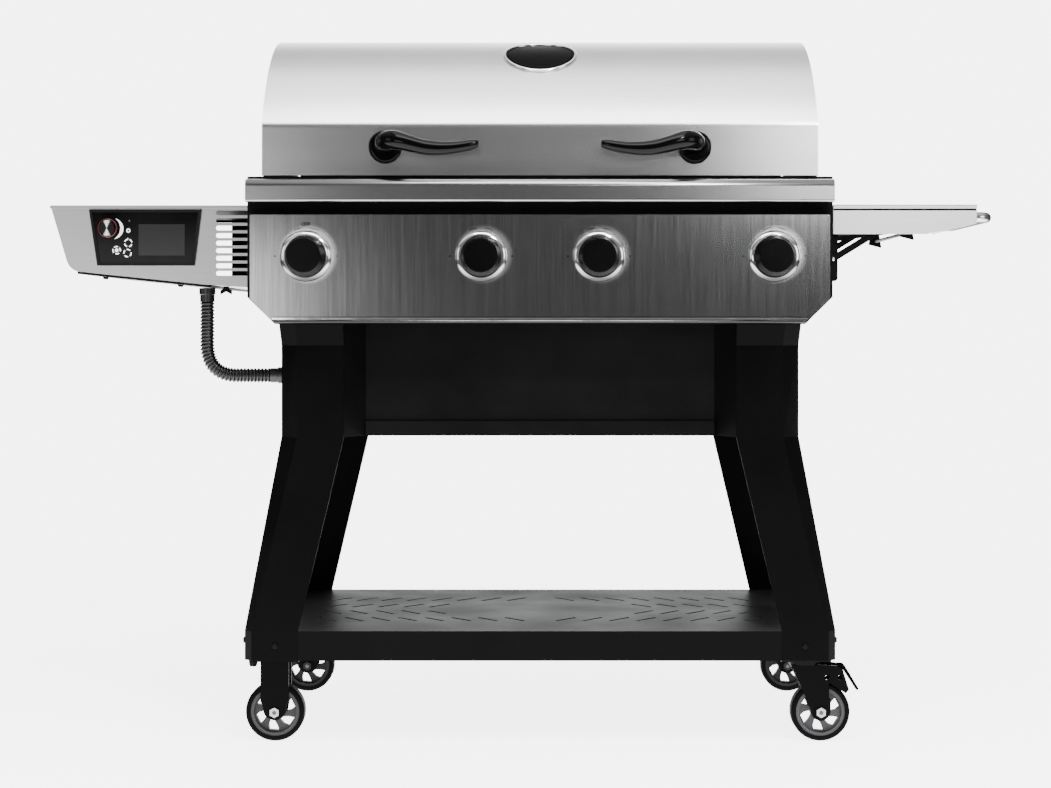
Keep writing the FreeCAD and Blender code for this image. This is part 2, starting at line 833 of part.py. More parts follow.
def cabinet():
    heights = (knee_height, leg_top)
    middle = box(
        "recess_back",
        (-recess_half_width, recess_half_width),
        (-recess_front, sheet_wall - recess_front),
        heights,
    )
    right_flank = prism(
        "recess_flank",
        "XY_Plane",
        [[
            (recess_half_width, -recess_front),
            (knee_inner_x, -knee_front),
            (knee_inner_x, sheet_wall * 2 - knee_front),
            (recess_half_width, sheet_wall * 2 - recess_front),
        ]],
        *heights,
    )
    left_flank = mirror("left_recess_flank", right_flank, AXIS_X)
    lip = box(
        "recess_lip",
        (-recess_half_width, recess_half_width),
        (-recess_front - lip_depth, -recess_front),
        (knee_height, knee_height + lip_height),
    )
    sub_part("cabinet_front_panel", [middle, left_flank, right_flank, lip])

    side_reach = knee_front - knee_chamfer - leg_side_width
    side_x = (knee_outer_x - leg_wall, knee_outer_x)
    right_side = box("right_cabinet_side", side_x, (-side_reach, side_reach), heights)
    left_side = mirror("left_cabinet_side", right_side, AXIS_X)
    inner_x = knee_outer_x - leg_wall
    rear = box(
        "cabinet_rear",
        (-inner_x, inner_x),
        (recess_front - sheet_wall, recess_front),
        heights,
    )
    floor = box(
        "cabinet_floor",
        (-inner_x, inner_x),
        (sheet_wall * 2 - recess_front, recess_front - sheet_wall),
        (knee_height, knee_height + plate_wall),
    )
    sub_part("cabinet_shell", [left_side, right_side, rear, floor])


def power_inlet():
    block = box(
        "inlet_block",
        (-inlet_x - inlet_half_width, inlet_half_width - inlet_x),
        (recess_front, recess_front + inlet_depth),
        (inlet_z - inlet_half_height, inlet_z + inlet_half_height),
    )
    rim = sheet_wall * 3
    hollow = box(
        "inlet_hollow",
        (rim - inlet_x - inlet_half_width, inlet_half_width - inlet_x - rim),
        (recess_front + sheet_wall, recess_front + inlet_depth * 2),
        (inlet_z - inlet_half_height + rim, inlet_z + inlet_half_height - rim),
    )
    sub_part("power_inlet", [cut("inlet_socket", block, [hollow])])


# Cooking body

def firebox():
    """A tub with bevelled lower corners, ledges for the grates and lugs for the drip tray."""
    inside = firebox_half_width - plate_wall
    front_outline = [
        (-deck_half_width, leg_top),
        (deck_half_width, leg_top),
        (firebox_half_width, wall_foot),
        (firebox_half_width, firebox_top),
        (-firebox_half_width, firebox_top),
        (-firebox_half_width, wall_foot),
    ]
    front_wall = prism(
        "firebox_front_wall", "XZ_Plane", [front_outline], -firebox_front, plate_wall - firebox_front
    )
    deck = prism(
        "firebox_deck",
        "XY_Plane",
        [[
            (-deck_half_width, plate_wall - firebox_front),
            (deck_half_width, plate_wall - firebox_front),
            (deck_half_width, deck_rear),
            (-deck_half_width, deck_rear),
        ]],
        leg_top,
        deck_top,
        [
            (feed_x, -pot_y, air_hole_radius),
            (-feed_x, -pot_y, air_hole_radius),
            (0, -cup_y, drain_radius + running_gap),
        ],
    )
    side_y = (plate_wall - firebox_front, firebox_rear)
    side_outline = [
        (deck_half_width - plate_wall, deck_top),
        (deck_half_width + plate_wall * firebox_bevel_x / firebox_bevel_z, deck_top),
        (firebox_half_width, wall_foot),
        (firebox_half_width, firebox_top),
        (inside, firebox_top),
        (inside, wall_foot + plate_wall),
    ]
    right_wall = prism("firebox_right_wall", "XZ_Plane", [side_outline], side_y[0], side_y[1])
    ledge = box(
        "firebox_right_ledge", (inside - side_ledge, inside), side_y, (firebox_top - plate_wall, firebox_top)
    )
    lug = box("drip_tray_lug", (inside - tray_lug, inside), side_y, (tray_seat - plate_wall, tray_seat))
    rail_x = (side_ledge - inside, inside - side_ledge)
    rail_z = (grate_seat - plate_wall, grate_seat)
    front_rail = box(
        "front_grate_rail",
        rail_x,
        (plate_wall - firebox_front, plate_wall + grate_rail_width - firebox_front),
        rail_z,
    )
    rear_rail = box("rear_grate_rail", rail_x, (firebox_rear - grate_rail_width, firebox_rear), rail_z)
    right = [right_wall, ledge, lug]
    left = [mirror(item.Name + "_left", item, AXIS_X) for item in right]
    sub_part("firebox", [front_wall, deck, front_rail, rear_rail] + right + left)


def back_panel():
    """The fixed back: wide below the hood, narrower inside its ends, with exhaust slots."""
    narrow = hood_half_width - hood_end_wall - hood_side_gap
    foot = deck_half_width + plate_wall * firebox_bevel_x / firebox_bevel_z
    outline = [
        (-foot, deck_top),
        (foot, deck_top),
        (firebox_half_width, wall_foot),
        (firebox_half_width, firebox_top),
        (narrow, firebox_top),
        (narrow, back_top),
        (-narrow, back_top),
        (-narrow, firebox_top),
        (-firebox_half_width, firebox_top),
        (-firebox_half_width, wall_foot),
    ]
    slots = []
    for number in range(exhaust_count):
        middle = exhaust_pitch * (number - (exhaust_count - 1) / 2)
        slots.append(rectangle(
            (middle - exhaust_width / 2, middle + exhaust_width / 2),
            (exhaust_z - exhaust_height / 2, exhaust_z + exhaust_height / 2),
        ))
    holes = [(side * feed_x, feed_z, feed_tube_radius) for side in (-1, 1)]
    holes.append((0, probe_z, probe_radius))
    panel = prism(
        "back_sheet", "XZ_Plane", [outline] + slots, firebox_rear, firebox_rear + plate_wall, holes
    )
    sub_part("back_panel", [panel])


def front_rail():
    """A folded bullnose: flat top, round front edge, front face and a return underneath."""
    small = sheet_wall * 2
    outline = [
        (-hood_front, rail_top),
        (rail_round - rail_front, rail_top, rail_round),
        (-rail_front, rail_top - rail_round),
        (-rail_front, rail_bottom + small, small),
        (small - rail_front, rail_bottom),
        (rail_return - rail_front, rail_bottom),
        (rail_return - rail_front, rail_bottom + sheet_wall),
        (small - rail_front, rail_bottom + sheet_wall, -sheet_wall),
        (sheet_wall - rail_front, rail_bottom + small),
        (sheet_wall - rail_front, rail_top - rail_round, sheet_wall - rail_round),
        (rail_round - rail_front, rail_top - sheet_wall),
        (-hood_front, rail_top - sheet_wall),
    ]
    inner = rail_half_width - sheet_wall
    fold = prism("rail_fold", "YZ_Plane", [outline], -inner, inner)
    cap_outline = [
        (-hood_front, rail_top),
        (rail_round - rail_front, rail_top, rail_round),
        (-rail_front, rail_top - rail_round),
        (-rail_front, rail_bottom + small, small),
        (small - rail_front, rail_bottom),
        (-hood_front, rail_bottom),
    ]
    right_cap = prism("rail_right_cap", "YZ_Plane", [cap_outline], inner, rail_half_width)
    left_cap = prism("rail_left_cap", "YZ_Plane", [cap_outline], -rail_half_width, -inner)
    sub_part("front_rail", [fuse("folded_front_rail", [fold, right_cap, left_cap])])


def panel_outline(inset):
    """The front view with bevelled lower corners, drawn in by an inset."""
    slope = root_of(panel_chamfer_x * panel_chamfer_x + panel_chamfer_z * panel_chamfer_z)
    side = panel_half_width - inset
    low = panel_bottom + inset
    high = panel_top - inset
    bevel_z = panel_bottom + panel_chamfer_z + inset * (slope - panel_chamfer_z) / panel_chamfer_x
    bevel_x = panel_half_width - panel_chamfer_x - inset * (slope - panel_chamfer_x) / panel_chamfer_z
    return [
        (-bevel_x, low),
        (bevel_x, low),
        (side, bevel_z),
        (side, high),
        (-side, high),
        (-side, bevel_z),
    ]


def knob_places():
    return [-outer_knob_x, -inner_knob_x, inner_knob_x, outer_knob_x]


def control_panel():
    holes = [(x, knob_z, knob_shaft_radius + pin_clearance) for x in knob_places()]
    face = prism(
        "panel_face",
        "XZ_Plane",
        [panel_outline(as_size(0))],
        -panel_front,
        sheet_wall - panel_front,
        holes,
    )
    returns = prism(
        "panel_returns",
        "XZ_Plane",
        [panel_outline(as_size(0)), panel_outline(sheet_wall)],
        sheet_wall - panel_front,
        -firebox_front,
    )
    hem_end = panel_half_width - panel_chamfer_x
    hem = rod(
        "panel_hem",
        hem_radius,
        hem_end * 2,
        (-hem_end, hem_sink - panel_front, panel_bottom + hem_radius - hem_sink / 2),
        "x",
    )
    sub_part("control_panel", [fuse("folded_control_panel", [face, returns, hem])])


def knob_bezels():
    """Polished rings: a rounded slope up to a narrow crest, and a floor under the knob."""
    bore = knob_shaft_radius + pin_clearance
    mouth = knob_radius + bezel_gap
    members = []
    for number, x in enumerate(knob_places()):
        profile = [
            (bore, 0),
            (bezel_radius, 0),
            (bezel_radius, bezel_edge, bezel_curve),
            (bezel_crest_radius, bezel_height),
            (mouth, bezel_height),
            (mouth, bezel_floor),
            (bore, bezel_floor),
        ]
        bezel = turned(f"bezel_{number}", profile)
        members.append(facing_front(bezel, x, -panel_front, knob_z))
    sub_part("knob_bezels", members)


def knobs():
    """Round control knobs: straight skirt, wide bevel, flat face and shaft."""
    names = ["left_mode_knob", "left_heat_knob", "right_heat_knob", "right_mode_knob"]
    base = bezel_floor + running_gap
    crown = sheet_wall
    for name, x in zip(names, knob_places()):
        profile = [
            (0, -knob_shaft_length),
            (knob_shaft_radius, -knob_shaft_length),
            (knob_shaft_radius, base),
            (knob_radius, base),
            (knob_radius, knob_skirt),
            (knob_face_radius + crown, knob_height - crown, crown),
            (knob_face_radius, knob_height),
            (0, knob_height),
        ]
        sub_part(name, [facing_front(turned(name + "_form", profile), x, -panel_front, knob_z)])


# Hood

def hood_outline(inset):
    """The rolled side view from the front edge over the roof, at a depth inside the skin."""
    bend = hood_bend_radius - inset
    roof = hood_roof_radius - inset
    bend_middle_y = hood_bend_radius - hood_front
    rear_z = roof_z + root_of(roof * roof - hood_rear_run * hood_rear_run)
    return [
        (inset - hood_front, hood_bottom),
        (inset - hood_front, hood_band_top, -bend),
        (
            bend_middle_y - bend * cosine(hood_bend_angle),
            hood_band_top + bend * sine(hood_bend_angle),
            -roof,
        ),
        (firebox_rear, rear_z),
    ]


def reversed_path(corners):
    """The same path walked backwards, with each arc turning the other way."""
    path = []
    for index in range(len(corners) - 1, -1, -1):
        corner = list(corners[index][:2])
        if index > 0 and len(corners[index - 1]) == 3:
            corner.append(-corners[index - 1][2])
        path.append(tuple(corner))
    return path


def hood():
    outer = hood_outline(as_size(0))
    inner = reversed_path(hood_outline(sheet_wall))
    inner_x = hood_half_width - hood_end_wall
    skin = prism("hood_sheet", "YZ_Plane", [outer + inner], -inner_x, inner_x)
    sub_part("hood_skin", [skin])
    end = outer + [(firebox_rear, hood_bottom)]
    right = prism("hood_right_end", "YZ_Plane", [end], inner_x, hood_half_width)
    left = prism("hood_left_end", "YZ_Plane", [end], -hood_half_width, -inner_x)
    sub_part("hood_ends", [left, right])


def hood_hinges():
    """Fixed ears and pins on the back panel, and leaves on the hood that turn between them."""
    plate_y = (firebox_rear + plate_wall, firebox_rear + plate_wall + fork_wall)
    half = hinge_width / 2
    eye = hinge_ear_width / 2
    fixed = []
    leaves = []
    for side in (-1, 1):
        x = side * hinge_x
        tag = "left" if side < 0 else "right"
        plate = box(
            f"{tag}_hinge_plate",
            (x - half, x + half),
            plate_y,
            (back_top - hinge_plate_height, back_top),
        )
        ears = []
        for step in (-1, 1):
            inner = x + step * (eye + running_gap)
            outer = x + step * half
            low, high = (inner, outer) if step > 0 else (outer, inner)
            web = prism(
                f"{tag}_hinge_ear",
                "YZ_Plane",
                [[
                    (plate_y[1], hinge_z - hinge_web_drop),
                    (hinge_y + hinge_ear_radius, hinge_z),
                    (hinge_y - hinge_ear_radius, hinge_z),
                    (plate_y[1], back_top - hinge_ear_radius),
                ]],
                low,
                high,
            )
            barrel = rod(f"{tag}_hinge_barrel", hinge_ear_radius, high - low, (low, hinge_y, hinge_z), "x")
            ears += [web, barrel]
        body = fuse(f"{tag}_hinge_bracket", [plate] + ears)
        pin_start = (x - half, hinge_y, hinge_z)
        pin_hole = rod(f"{tag}_hinge_hole", hinge_pin_radius, hinge_width, pin_start, "x")
        fixed.append(cut(f"{tag}_hinge_fixed", body, [pin_hole]))
        fixed.append(rod(f"{tag}_hinge_pin", hinge_pin_radius, hinge_width, pin_start, "x"))

        outer_roof = hood_roof_radius + hinge_leaf_wall
        leaf_start_run = hood_rear_run - hood_roof_radius * hinge_leaf_angle * radians_per_degree
        start_z = roof_z + root_of(hood_roof_radius * hood_roof_radius - leaf_start_run * leaf_start_run)
        start_outer_z = roof_z + root_of(outer_roof * outer_roof - leaf_start_run * leaf_start_run)
        end_outer_z = roof_z + root_of(outer_roof * outer_roof - hood_rear_run * hood_rear_run)
        start_y = roof_y + leaf_start_run
        strap = prism(
            f"{tag}_hinge_strap",
            "YZ_Plane",
            [[
                (start_y, start_z, -hood_roof_radius),
                (firebox_rear, hood_rear_z),
                (firebox_rear, end_outer_z, outer_roof),
                (start_y, start_outer_z),
            ]],
            x - half,
            x + half,
        )
        neck = prism(
            f"{tag}_hinge_neck",
            "YZ_Plane",
            [[
                (firebox_rear, hood_rear_z),
                (hinge_y - hinge_ear_radius, hinge_z),
                (hinge_y, hinge_z),
                (hinge_y, hinge_z + hinge_ear_radius),
                (firebox_rear, end_outer_z),
            ]],
            x - eye,
            x + eye,
        )
        knuckle_start = (x - eye, hinge_y, hinge_z)
        knuckle = rod(f"{tag}_hinge_knuckle", hinge_ear_radius, hinge_ear_width, knuckle_start, "x")
        leaf = fuse(f"{tag}_hinge_leaf_form", [strap, neck, knuckle])
        bore_radius = hinge_pin_radius + pin_clearance
        bore = rod(f"{tag}_hinge_bore", bore_radius, hinge_ear_width, knuckle_start, "x")
        leaves.append(cut(f"{tag}_hinge_leaf", leaf, [bore]))
    sub_part("hood_hinge_brackets", fixed)
    sub_part("hood_hinge_leaves", leaves)


def horn_handle(name, side):
    """A cast horn: it leaves the hood straight, sweeps in towards the middle and thins to a tip."""
    # Each row: share of the length, share of the standoff, rise, heading from straight out, thickness.
    stations = [
        (0.0, 0.0, 4, 0, 1.0),
        (0.0, 0.34, 6, 0, 1.0),
        (0.05, 0.72, 7.5, 32, 0.98),
        (0.14, 0.93, 7, 64, 0.94),
        (0.28, 1.0, 1.3, 90, 0.83),
        (0.45, 1.01, -5, 90, 0.74),
        (0.61, 1.0, -6.6, 90, 0.66),
        (0.82, 0.98, -3.8, 90, 0.56),
        (0.96, 0.97, 0.2, 90, 0.45),
        (1.0, 0.97, 1.2, 90, 0.28),
    ]
    rings = []
    for number, (along, out, rise, heading, thickness) in enumerate(stations):
        ring = doc.addObject("Part::Circle", f"{name}_ring_{number}")
        facing = FreeCAD.Vector(
            -side * math.sin(math.radians(heading)), -math.cos(math.radians(heading)), 0
        )
        ring.Placement = FreeCAD.Placement(
            FreeCAD.Vector(), FreeCAD.Rotation(AXIS_Z, FreeCAD.Vector(), facing, "ZXY")
        )
        bind(ring, "Radius", handle_root_diameter * thickness / 2)
        place(
            ring,
            side * (handle_x - handle_length * along),
            -hood_front - handle_standoff * out,
            handle_z + rise,
        )
        rings.append(ring)
    horn = doc.addObject("Part::Loft", name + "_horn")
    horn.Sections = rings
    horn.Solid = True
    horn.Ruled = False
    rosette = turned(
        name + "_rosette",
        [
            (0, 0),
            (rosette_radius, 0),
            (rosette_radius, rosette_height / 3, rosette_height * 2 / 3),
            (rosette_radius - rosette_height * 2 / 3, rosette_height),
            (0, rosette_height),
        ],
    )
    facing_front(rosette, side * handle_x, -hood_front, handle_z)
    sub_part(name, [fuse(name + "_casting", [horn, rosette])])


# Left shelf and controller

def left_shelf_outline(inset):
    """Front view of the fixed shelf: slanted outer end and a bottom that deepens to the body."""
    root = firebox_half_width
    return [
        (-root, shelf_root_z),
        (-root, shelf_top - inset),
        (inset - left_reach, shelf_top - inset),
        (inset - shelf_end_bottom_x, shelf_end_bottom_z, shelf_corner_radius),
        (inset - shelf_low_x, shelf_low_z),
        (-shelf_knee_x, shelf_knee_z),
    ]


def left_shelf():
    shell = prism(
        "left_shelf_block", "XZ_Plane", [left_shelf_outline(as_size(0))], -shelf_front, shelf_rear
    )
    below = shelf_root_z - vent_pitch
    inner = left_shelf_outline(sheet_wall)
    root = firebox_half_width + sheet_wall
    fall = (shelf_knee_z - shelf_root_z) / (shelf_knee_x - firebox_half_width)
    hollow_outline = [
        (-pan_end_x, below),
        (-pan_end_x, shelf_root_z + fall * (pan_end_x - firebox_half_width) + sheet_wall),
        (-root, shelf_root_z + sheet_wall),
        (-root, inner[1][1]),
        inner[2],
        inner[3],
        inner[4],
        (inner[4][0], below),
    ]
    hollow = prism(
        "left_shelf_hollow", "XZ_Plane", [hollow_outline], sheet_wall - shelf_front, shelf_rear - sheet_wall
    )
    vents = []
    vent_round = vent_height / 2
    for number in range(vent_count):
        low = vent_low_z + vent_pitch * number
        vents.append([
            (vent_round - vent_outer_x, low),
            (-vent_inner_x, low),
            (-vent_inner_x, low + vent_height),
            (vent_round - vent_outer_x, low + vent_height, vent_round * arc_slack),
        ])
    vent_cutter = prism(
        "side_vents", "XZ_Plane", vents, -shelf_front - shelf_lip_depth, shelf_lip_depth - shelf_front
    )
    window_inner_x = firebox_half_width + rear_window_out
    rear_window = box(
        "rear_window",
        (-window_inner_x - rear_window_length, -window_inner_x),
        (shelf_rear - shelf_lip_depth, shelf_rear + shelf_lip_depth),
        (rear_window_low, rear_window_high),
    )
    housing = cut("left_shelf_shell", shell, [hollow, vent_cutter, rear_window])
    lip_x = (-left_reach, -firebox_half_width)
    lip_z = (shelf_top - shelf_lip_height, shelf_top)
    front_lip = box(
        "left_shelf_front_lip", lip_x, (-shelf_front - shelf_lip_depth, -shelf_front), lip_z
    )
    rear_lip = box("left_shelf_rear_lip", lip_x, (shelf_rear, shelf_rear + shelf_lip_depth), lip_z)
    sub_part("left_shelf", [fuse("left_shelf_housing", [housing, front_lip, rear_lip])])
    pan_end_z = shelf_root_z + fall * (pan_end_x - firebox_half_width)
    pan = prism(
        "left_shelf_base",
        "XZ_Plane",
        [[
            (-pan_end_x, pan_end_z),
            (-shelf_knee_x, shelf_knee_z),
            (-shelf_low_x, shelf_low_z),
            (-shelf_low_x, shelf_low_z - pan_wall),
            (-shelf_knee_x, shelf_knee_z - pan_wall),
            (-pan_end_x, pan_end_z - pan_wall),
        ]],
        -shelf_front,
        shelf_rear,
    )
    sub_part("left_shelf_pan", [pan])


def controller_outline(inset):
    return [
        (inset - bezel_bottom_left, bezel_bottom_z + inset),
        (-bezel_bottom_right - inset, bezel_bottom_z + inset),
        (-bezel_top_right - inset, bezel_top_z - inset),
        (inset - bezel_top_left, bezel_top_z - inset),
    ]


def controller():
    face = -shelf_front
    front = face - controller_depth
    rim = prism(
        "controller_rim",
        "XZ_Plane",
        [controller_outline(as_size(0)), controller_outline(controller_rim)],
        front,
        face,
    )
    sub_part("controller_bezel", [rim])
    glass = prism(
        "controller_glass",
        "XZ_Plane",
        [controller_outline(controller_rim)],
        -glass_front,
        face,
        [
            (-dial_x, dial_z, knob_shaft_radius + pin_clearance),
            (-button_x, button_z, button_radius + running_gap),
        ],
    )
    sub_part("controller_face", [glass])
    screen = box(
        "display_window",
        (-screen_left, -screen_right),
        (-glass_front - screen_wall, -glass_front),
        (screen_low, screen_high),
    )
    sub_part("controller_screen", [screen])
    dial = turned(
        "dial_form",
        [
            (0, -controller_depth / 2),
            (knob_shaft_radius, -controller_depth / 2),
            (knob_shaft_radius, running_gap),
            (dial_radius, running_gap),
            (dial_radius, dial_skirt),
            (dial_face_radius, dial_height),
            (0, dial_height),
        ],
    )
    sub_part("controller_dial", [facing_front(dial, -dial_x, -glass_front, dial_z)])
    button = turned(
        "button_form",
        [
            (0, -button_seat),
            (button_radius, -button_seat),
            (button_radius, button_height - button_seat - sheet_wall, sheet_wall),
            (button_radius - sheet_wall, button_height - button_seat),
            (0, button_height - button_seat),
        ],
    )
    sub_part("power_button", [facing_front(button, -button_x, -glass_front, button_z)])


# Wiring conduit

def hose_path_point(distance, straight_drop):
    """Place and direction along the conduit: down, round one bend, then right."""
    bend = hose_bend_radius.value
    quarter = bend * math.pi / 2
    x = -hose_x.value
    top = gland_top.value - gland_length.value
    if distance <= straight_drop:
        return FreeCAD.Vector(x, -hose_y.value, top - distance), FreeCAD.Vector(0, 0, -1)
    if distance <= straight_drop + quarter:
        angle = (distance - straight_drop) / bend
        place_on_bend = FreeCAD.Vector(
            x + bend * (1 - math.cos(angle)), -hose_y.value, top - straight_drop - bend * math.sin(angle)
        )
        return place_on_bend, FreeCAD.Vector(math.sin(angle), 0, -math.cos(angle))
    run = distance - straight_drop - quarter
    return FreeCAD.Vector(x + bend + run, -hose_y.value, hose_z.value), FreeCAD.Vector(1, 0, 0)


def ring_wire(centre, direction, radius):
    """A circle across the conduit whose starting point always lies on the same side."""
    edge = Part.Circle(FreeCAD.Vector(), AXIS_Z, radius).toShape()
    edge.Placement = FreeCAD.Placement(centre, FreeCAD.Rotation(AXIS_Y, FreeCAD.Vector(), direction, "ZXY"))
    return Part.Wire([edge])


def conduit():
    """A corrugated tube between two glands, with its bore."""
    bend = hose_bend_radius.value
    top = gland_top.value - gland_length.value
    straight_drop = top - hose_z.value - bend
    last_run = hose_x.value - knee_outer_x.value - bend - gland_length.value
    length = straight_drop + bend * math.pi / 2 + last_run
    plain_end = hose_plain_end.value
    pitch = (length - 2 * plain_end) / hose_rib_count
    rings = [(0, hose_valley_radius.value)]
    for number in range(hose_rib_count):
        start = plain_end + pitch * number
        rings.append((start, hose_valley_radius.value))
        rings.append((start + pitch * rib_rise_end, hose_radius.value))
        rings.append((start + pitch * rib_crest_end, hose_radius.value))
        rings.append((start + pitch * rib_fall_end, hose_valley_radius.value))
    rings.append((length, hose_valley_radius.value))
    wires = [ring_wire(*hose_path_point(distance, straight_drop), radius) for distance, radius in rings]
    outside = Part.makeLoft(wires, True, True)
    stations = [0, straight_drop]
    middle = straight_drop + bend * math.pi / 4
    stations += [middle, straight_drop + bend * math.pi / 2, length]
    points = [hose_path_point(distance, straight_drop)[0] for distance in stations]
    path = Part.Wire([
        Part.LineSegment(points[0], points[1]).toShape(),
        Part.Arc(points[1], points[2], points[3]).toShape(),
        Part.LineSegment(points[3], points[4]).toShape(),
    ])
    start, direction = hose_path_point(0, straight_drop)
    bore = path.makePipeShell([ring_wire(start, direction, hose_bore_radius.value)], True, False)
    hose = doc.addObject("Part::Feature", "conduit_tube")
    hose.Shape = outside.cut(bore)
    place(hose)
    sub_part("conduit_hose", [hose])


def conduit_glands():
    profile = [
        (hose_bore_radius, 0),
        (gland_radius, 0),
        (gland_radius, gland_nut_length),
        (gland_radius - sheet_wall, gland_nut_length + gland_nut_bevel),
        (gland_radius - sheet_wall, gland_length),
        (hose_bore_radius, gland_length),
    ]
    upper = turned("upper_gland", profile)
    turn(upper, AXIS_X, 180)
    place(upper, -hose_x, -hose_y, gland_top)
    lower = turned("lower_gland", profile)
    turn(lower, AXIS_Y, -90)
    place(lower, -knee_outer_x, -hose_y, hose_z)
    sub_part("conduit_glands", [upper, lower])


# Right folding shelf

def tray_outline():
    return [
        (tray_left, tray_skirt_low),
        (tray_taper_x, tray_skirt_low),
        (tray_right, tray_top - tray_end_skirt),
        (tray_right, tray_top),
        (tray_left, tray_top),
    ]


def right_shelf():
    block = prism("tray_block", "XZ_Plane", [tray_outline()], -tray_front, tray_rear)
    hollow = box(
        "tray_hollow",
        (tray_left - sheet_wall, tray_right - sheet_wall),
        (sheet_wall - tray_front, tray_rear - sheet_wall),
        (tray_skirt_low - sheet_wall, tray_top - sheet_wall),
    )
    lip_z = (tray_top - shelf_lip_height, tray_top)
    front_lip = box(
        "tray_front_lip", (tray_left, tray_right), (-tray_front - shelf_lip_depth, -tray_front), lip_z
    )
    rear_lip = box("tray_rear_lip", (tray_left, tray_right), (tray_rear, tray_rear + shelf_lip_depth), lip_z)
    below_rear = box(
        "below_rear_skirt",
        (tray_left - sheet_wall, tray_right - sheet_wall),
        (tray_rear - sheet_wall * 2, tray_rear + sheet_wall),
        (tray_skirt_low - sheet_wall, tray_top - tray_rear_skirt),
    )
    hollowed = cut("tray_shell", block, [hollow, below_rear])
    sub_part("right_shelf", [fuse("folding_tray", [hollowed, front_lip, rear_lip])])


def shelf_bar():
    """A round towel bar along the outer edge, its two ends bent back to the shelf."""
    bar_x = right_reach - bar_radius
    front = bar_inset - tray_front
    rear = tray_rear - bar_inset
    leg = bar_x - tray_right - bar_bend
    bars = []
    for y, sign in ((front, 1), (rear, -1)):
        bars.append(rod("bar_leg", bar_radius, leg, (tray_right, y, bar_z), "x"))
        bend = doc.addObject("Part::Torus", "bar_corner")
        bind(bend, "Radius1", bar_bend)
        bind(bend, "Radius2", bar_radius)
        bend.Angle3 = 90
        turn(bend, AXIS_Z, -90 if sign > 0 else 0)
        place(bend, bar_x - bar_bend, y + sign * bar_bend, bar_z)
        bars.append(bend)
    run_start = (bar_x, front + bar_bend, bar_z)
    bars.append(rod("bar_run", bar_radius, rear - front - bar_bend * 2, run_start, "y"))
    sub_part("shelf_bar", [fuse("bent_shelf_bar", bars)])


def strut_outline():
    """A flat link with round-cornered ends between its two pivots."""
    run_x = strut_end_x - strut_x
    run_z = strut_end_z - strut_z
    length = root_of(run_x * run_x + run_z * run_z)
    along_x = run_x / length * strut_half_width
    along_z = run_z / length * strut_half_width
    return [
        (strut_x + along_z, strut_z - along_x),
        (strut_end_x + along_z, strut_end_z - along_x, strut_half_width * arc_slack),
        (strut_end_x - along_z, strut_end_z + along_x),
        (strut_x - along_z, strut_z + along_x, strut_half_width * arc_slack),
    ]


def layer(middle, inward, near, far):
    """The span in Y of one sheet of a bracket, between two distances in from its middle plane."""
    first = middle + inward * near
    last = middle + inward * far
    return (first, last) if inward > 0 else (last, first)


def bracket_rod(name, radius, x, span, z):
    return rod(name, radius, span[1] - span[0], (x, span[0], z), "y")


def wall_bracket(tag, middle, ear_y, fold_pin_y, strut_pin_y):
    wall_x = (firebox_half_width, firebox_half_width + bracket_wall)
    ear_x = firebox_half_width + ear_reach
    pin = bracket_pin_radius
    flange = box(
        f"{tag}_bracket_flange",
        wall_x,
        (middle - bracket_half_width, middle + bracket_half_width),
        (bracket_low_z, bracket_high_z),
    )
    ear = prism(
        f"{tag}_bracket_ear",
        "XZ_Plane",
        [[
            (wall_x[1], bracket_low_z),
            (ear_x - ear_round, bracket_low_z, ear_round),
            (ear_x, bracket_low_z + ear_round),
            (ear_x, fold_z - pin * 3),
            (fold_x + pin * 2, fold_z - pin),
            (fold_x + pin * 2, fold_z + pin * 2),
            (wall_x[1], bracket_high_z),
        ]],
        *ear_y,
    )
    fold_pin = bracket_rod(f"{tag}_fold_pin", pin, fold_x, fold_pin_y, fold_z)
    strut_pin = bracket_rod(f"{tag}_strut_pin", pin, strut_x, strut_pin_y, strut_z)
    return fuse(f"{tag}_wall_bracket", [flange, ear, fold_pin, strut_pin])


def shelf_arm(tag, arm_y, lever_pin_y):
    pin = bracket_pin_radius
    plate = prism(
        f"{tag}_arm_plate",
        "XZ_Plane",
        [[
            (fold_x - pin * 2, fold_z - pin * 2),
            (fold_x + pin * 2, fold_z - pin * 2),
            (arm_end_x, lever_z - pin),
            (arm_end_x, tray_top - sheet_wall),
            (fold_x - pin * 2, tray_top - sheet_wall),
        ]],
        *arm_y,
        [(fold_x, fold_z, pin + pin_clearance)],
    )
    lever_pin = bracket_rod(f"{tag}_lever_pin", lever_pin_radius, lever_x, lever_pin_y, lever_z)
    return fuse(f"{tag}_arm", [plate, lever_pin])


def shelf_strut(tag, strut_y, stub_y):
    hole = bracket_pin_radius + pin_clearance
    link = prism(f"{tag}_strut_link", "XZ_Plane", [strut_outline()], *strut_y, [(strut_x, strut_z, hole)])
    stub = bracket_rod(f"{tag}_strut_stub", bracket_pin_radius, strut_end_x, stub_y, strut_end_z)
    return fuse(f"{tag}_strut", [link, stub])


def lever_plate(tag, lever_y):
    half = lever_half_width / 2
    return prism(
        f"{tag}_lever_plate",
        "XZ_Plane",
        [[
            (lever_x - half, lever_z + half),
            (lever_x - lever_half_width, lever_low_z + bracket_wall * 2),
            (lever_x + lever_half_width, lever_low_z),
            (lever_x + lever_half_width, lever_low_z + bracket_wall),
            (lever_x + half, lever_z),
            (lever_x + half, lever_z + half),
        ]],
        *lever_y,
        [(lever_x, lever_z, lever_pin_radius + pin_clearance)],
    )


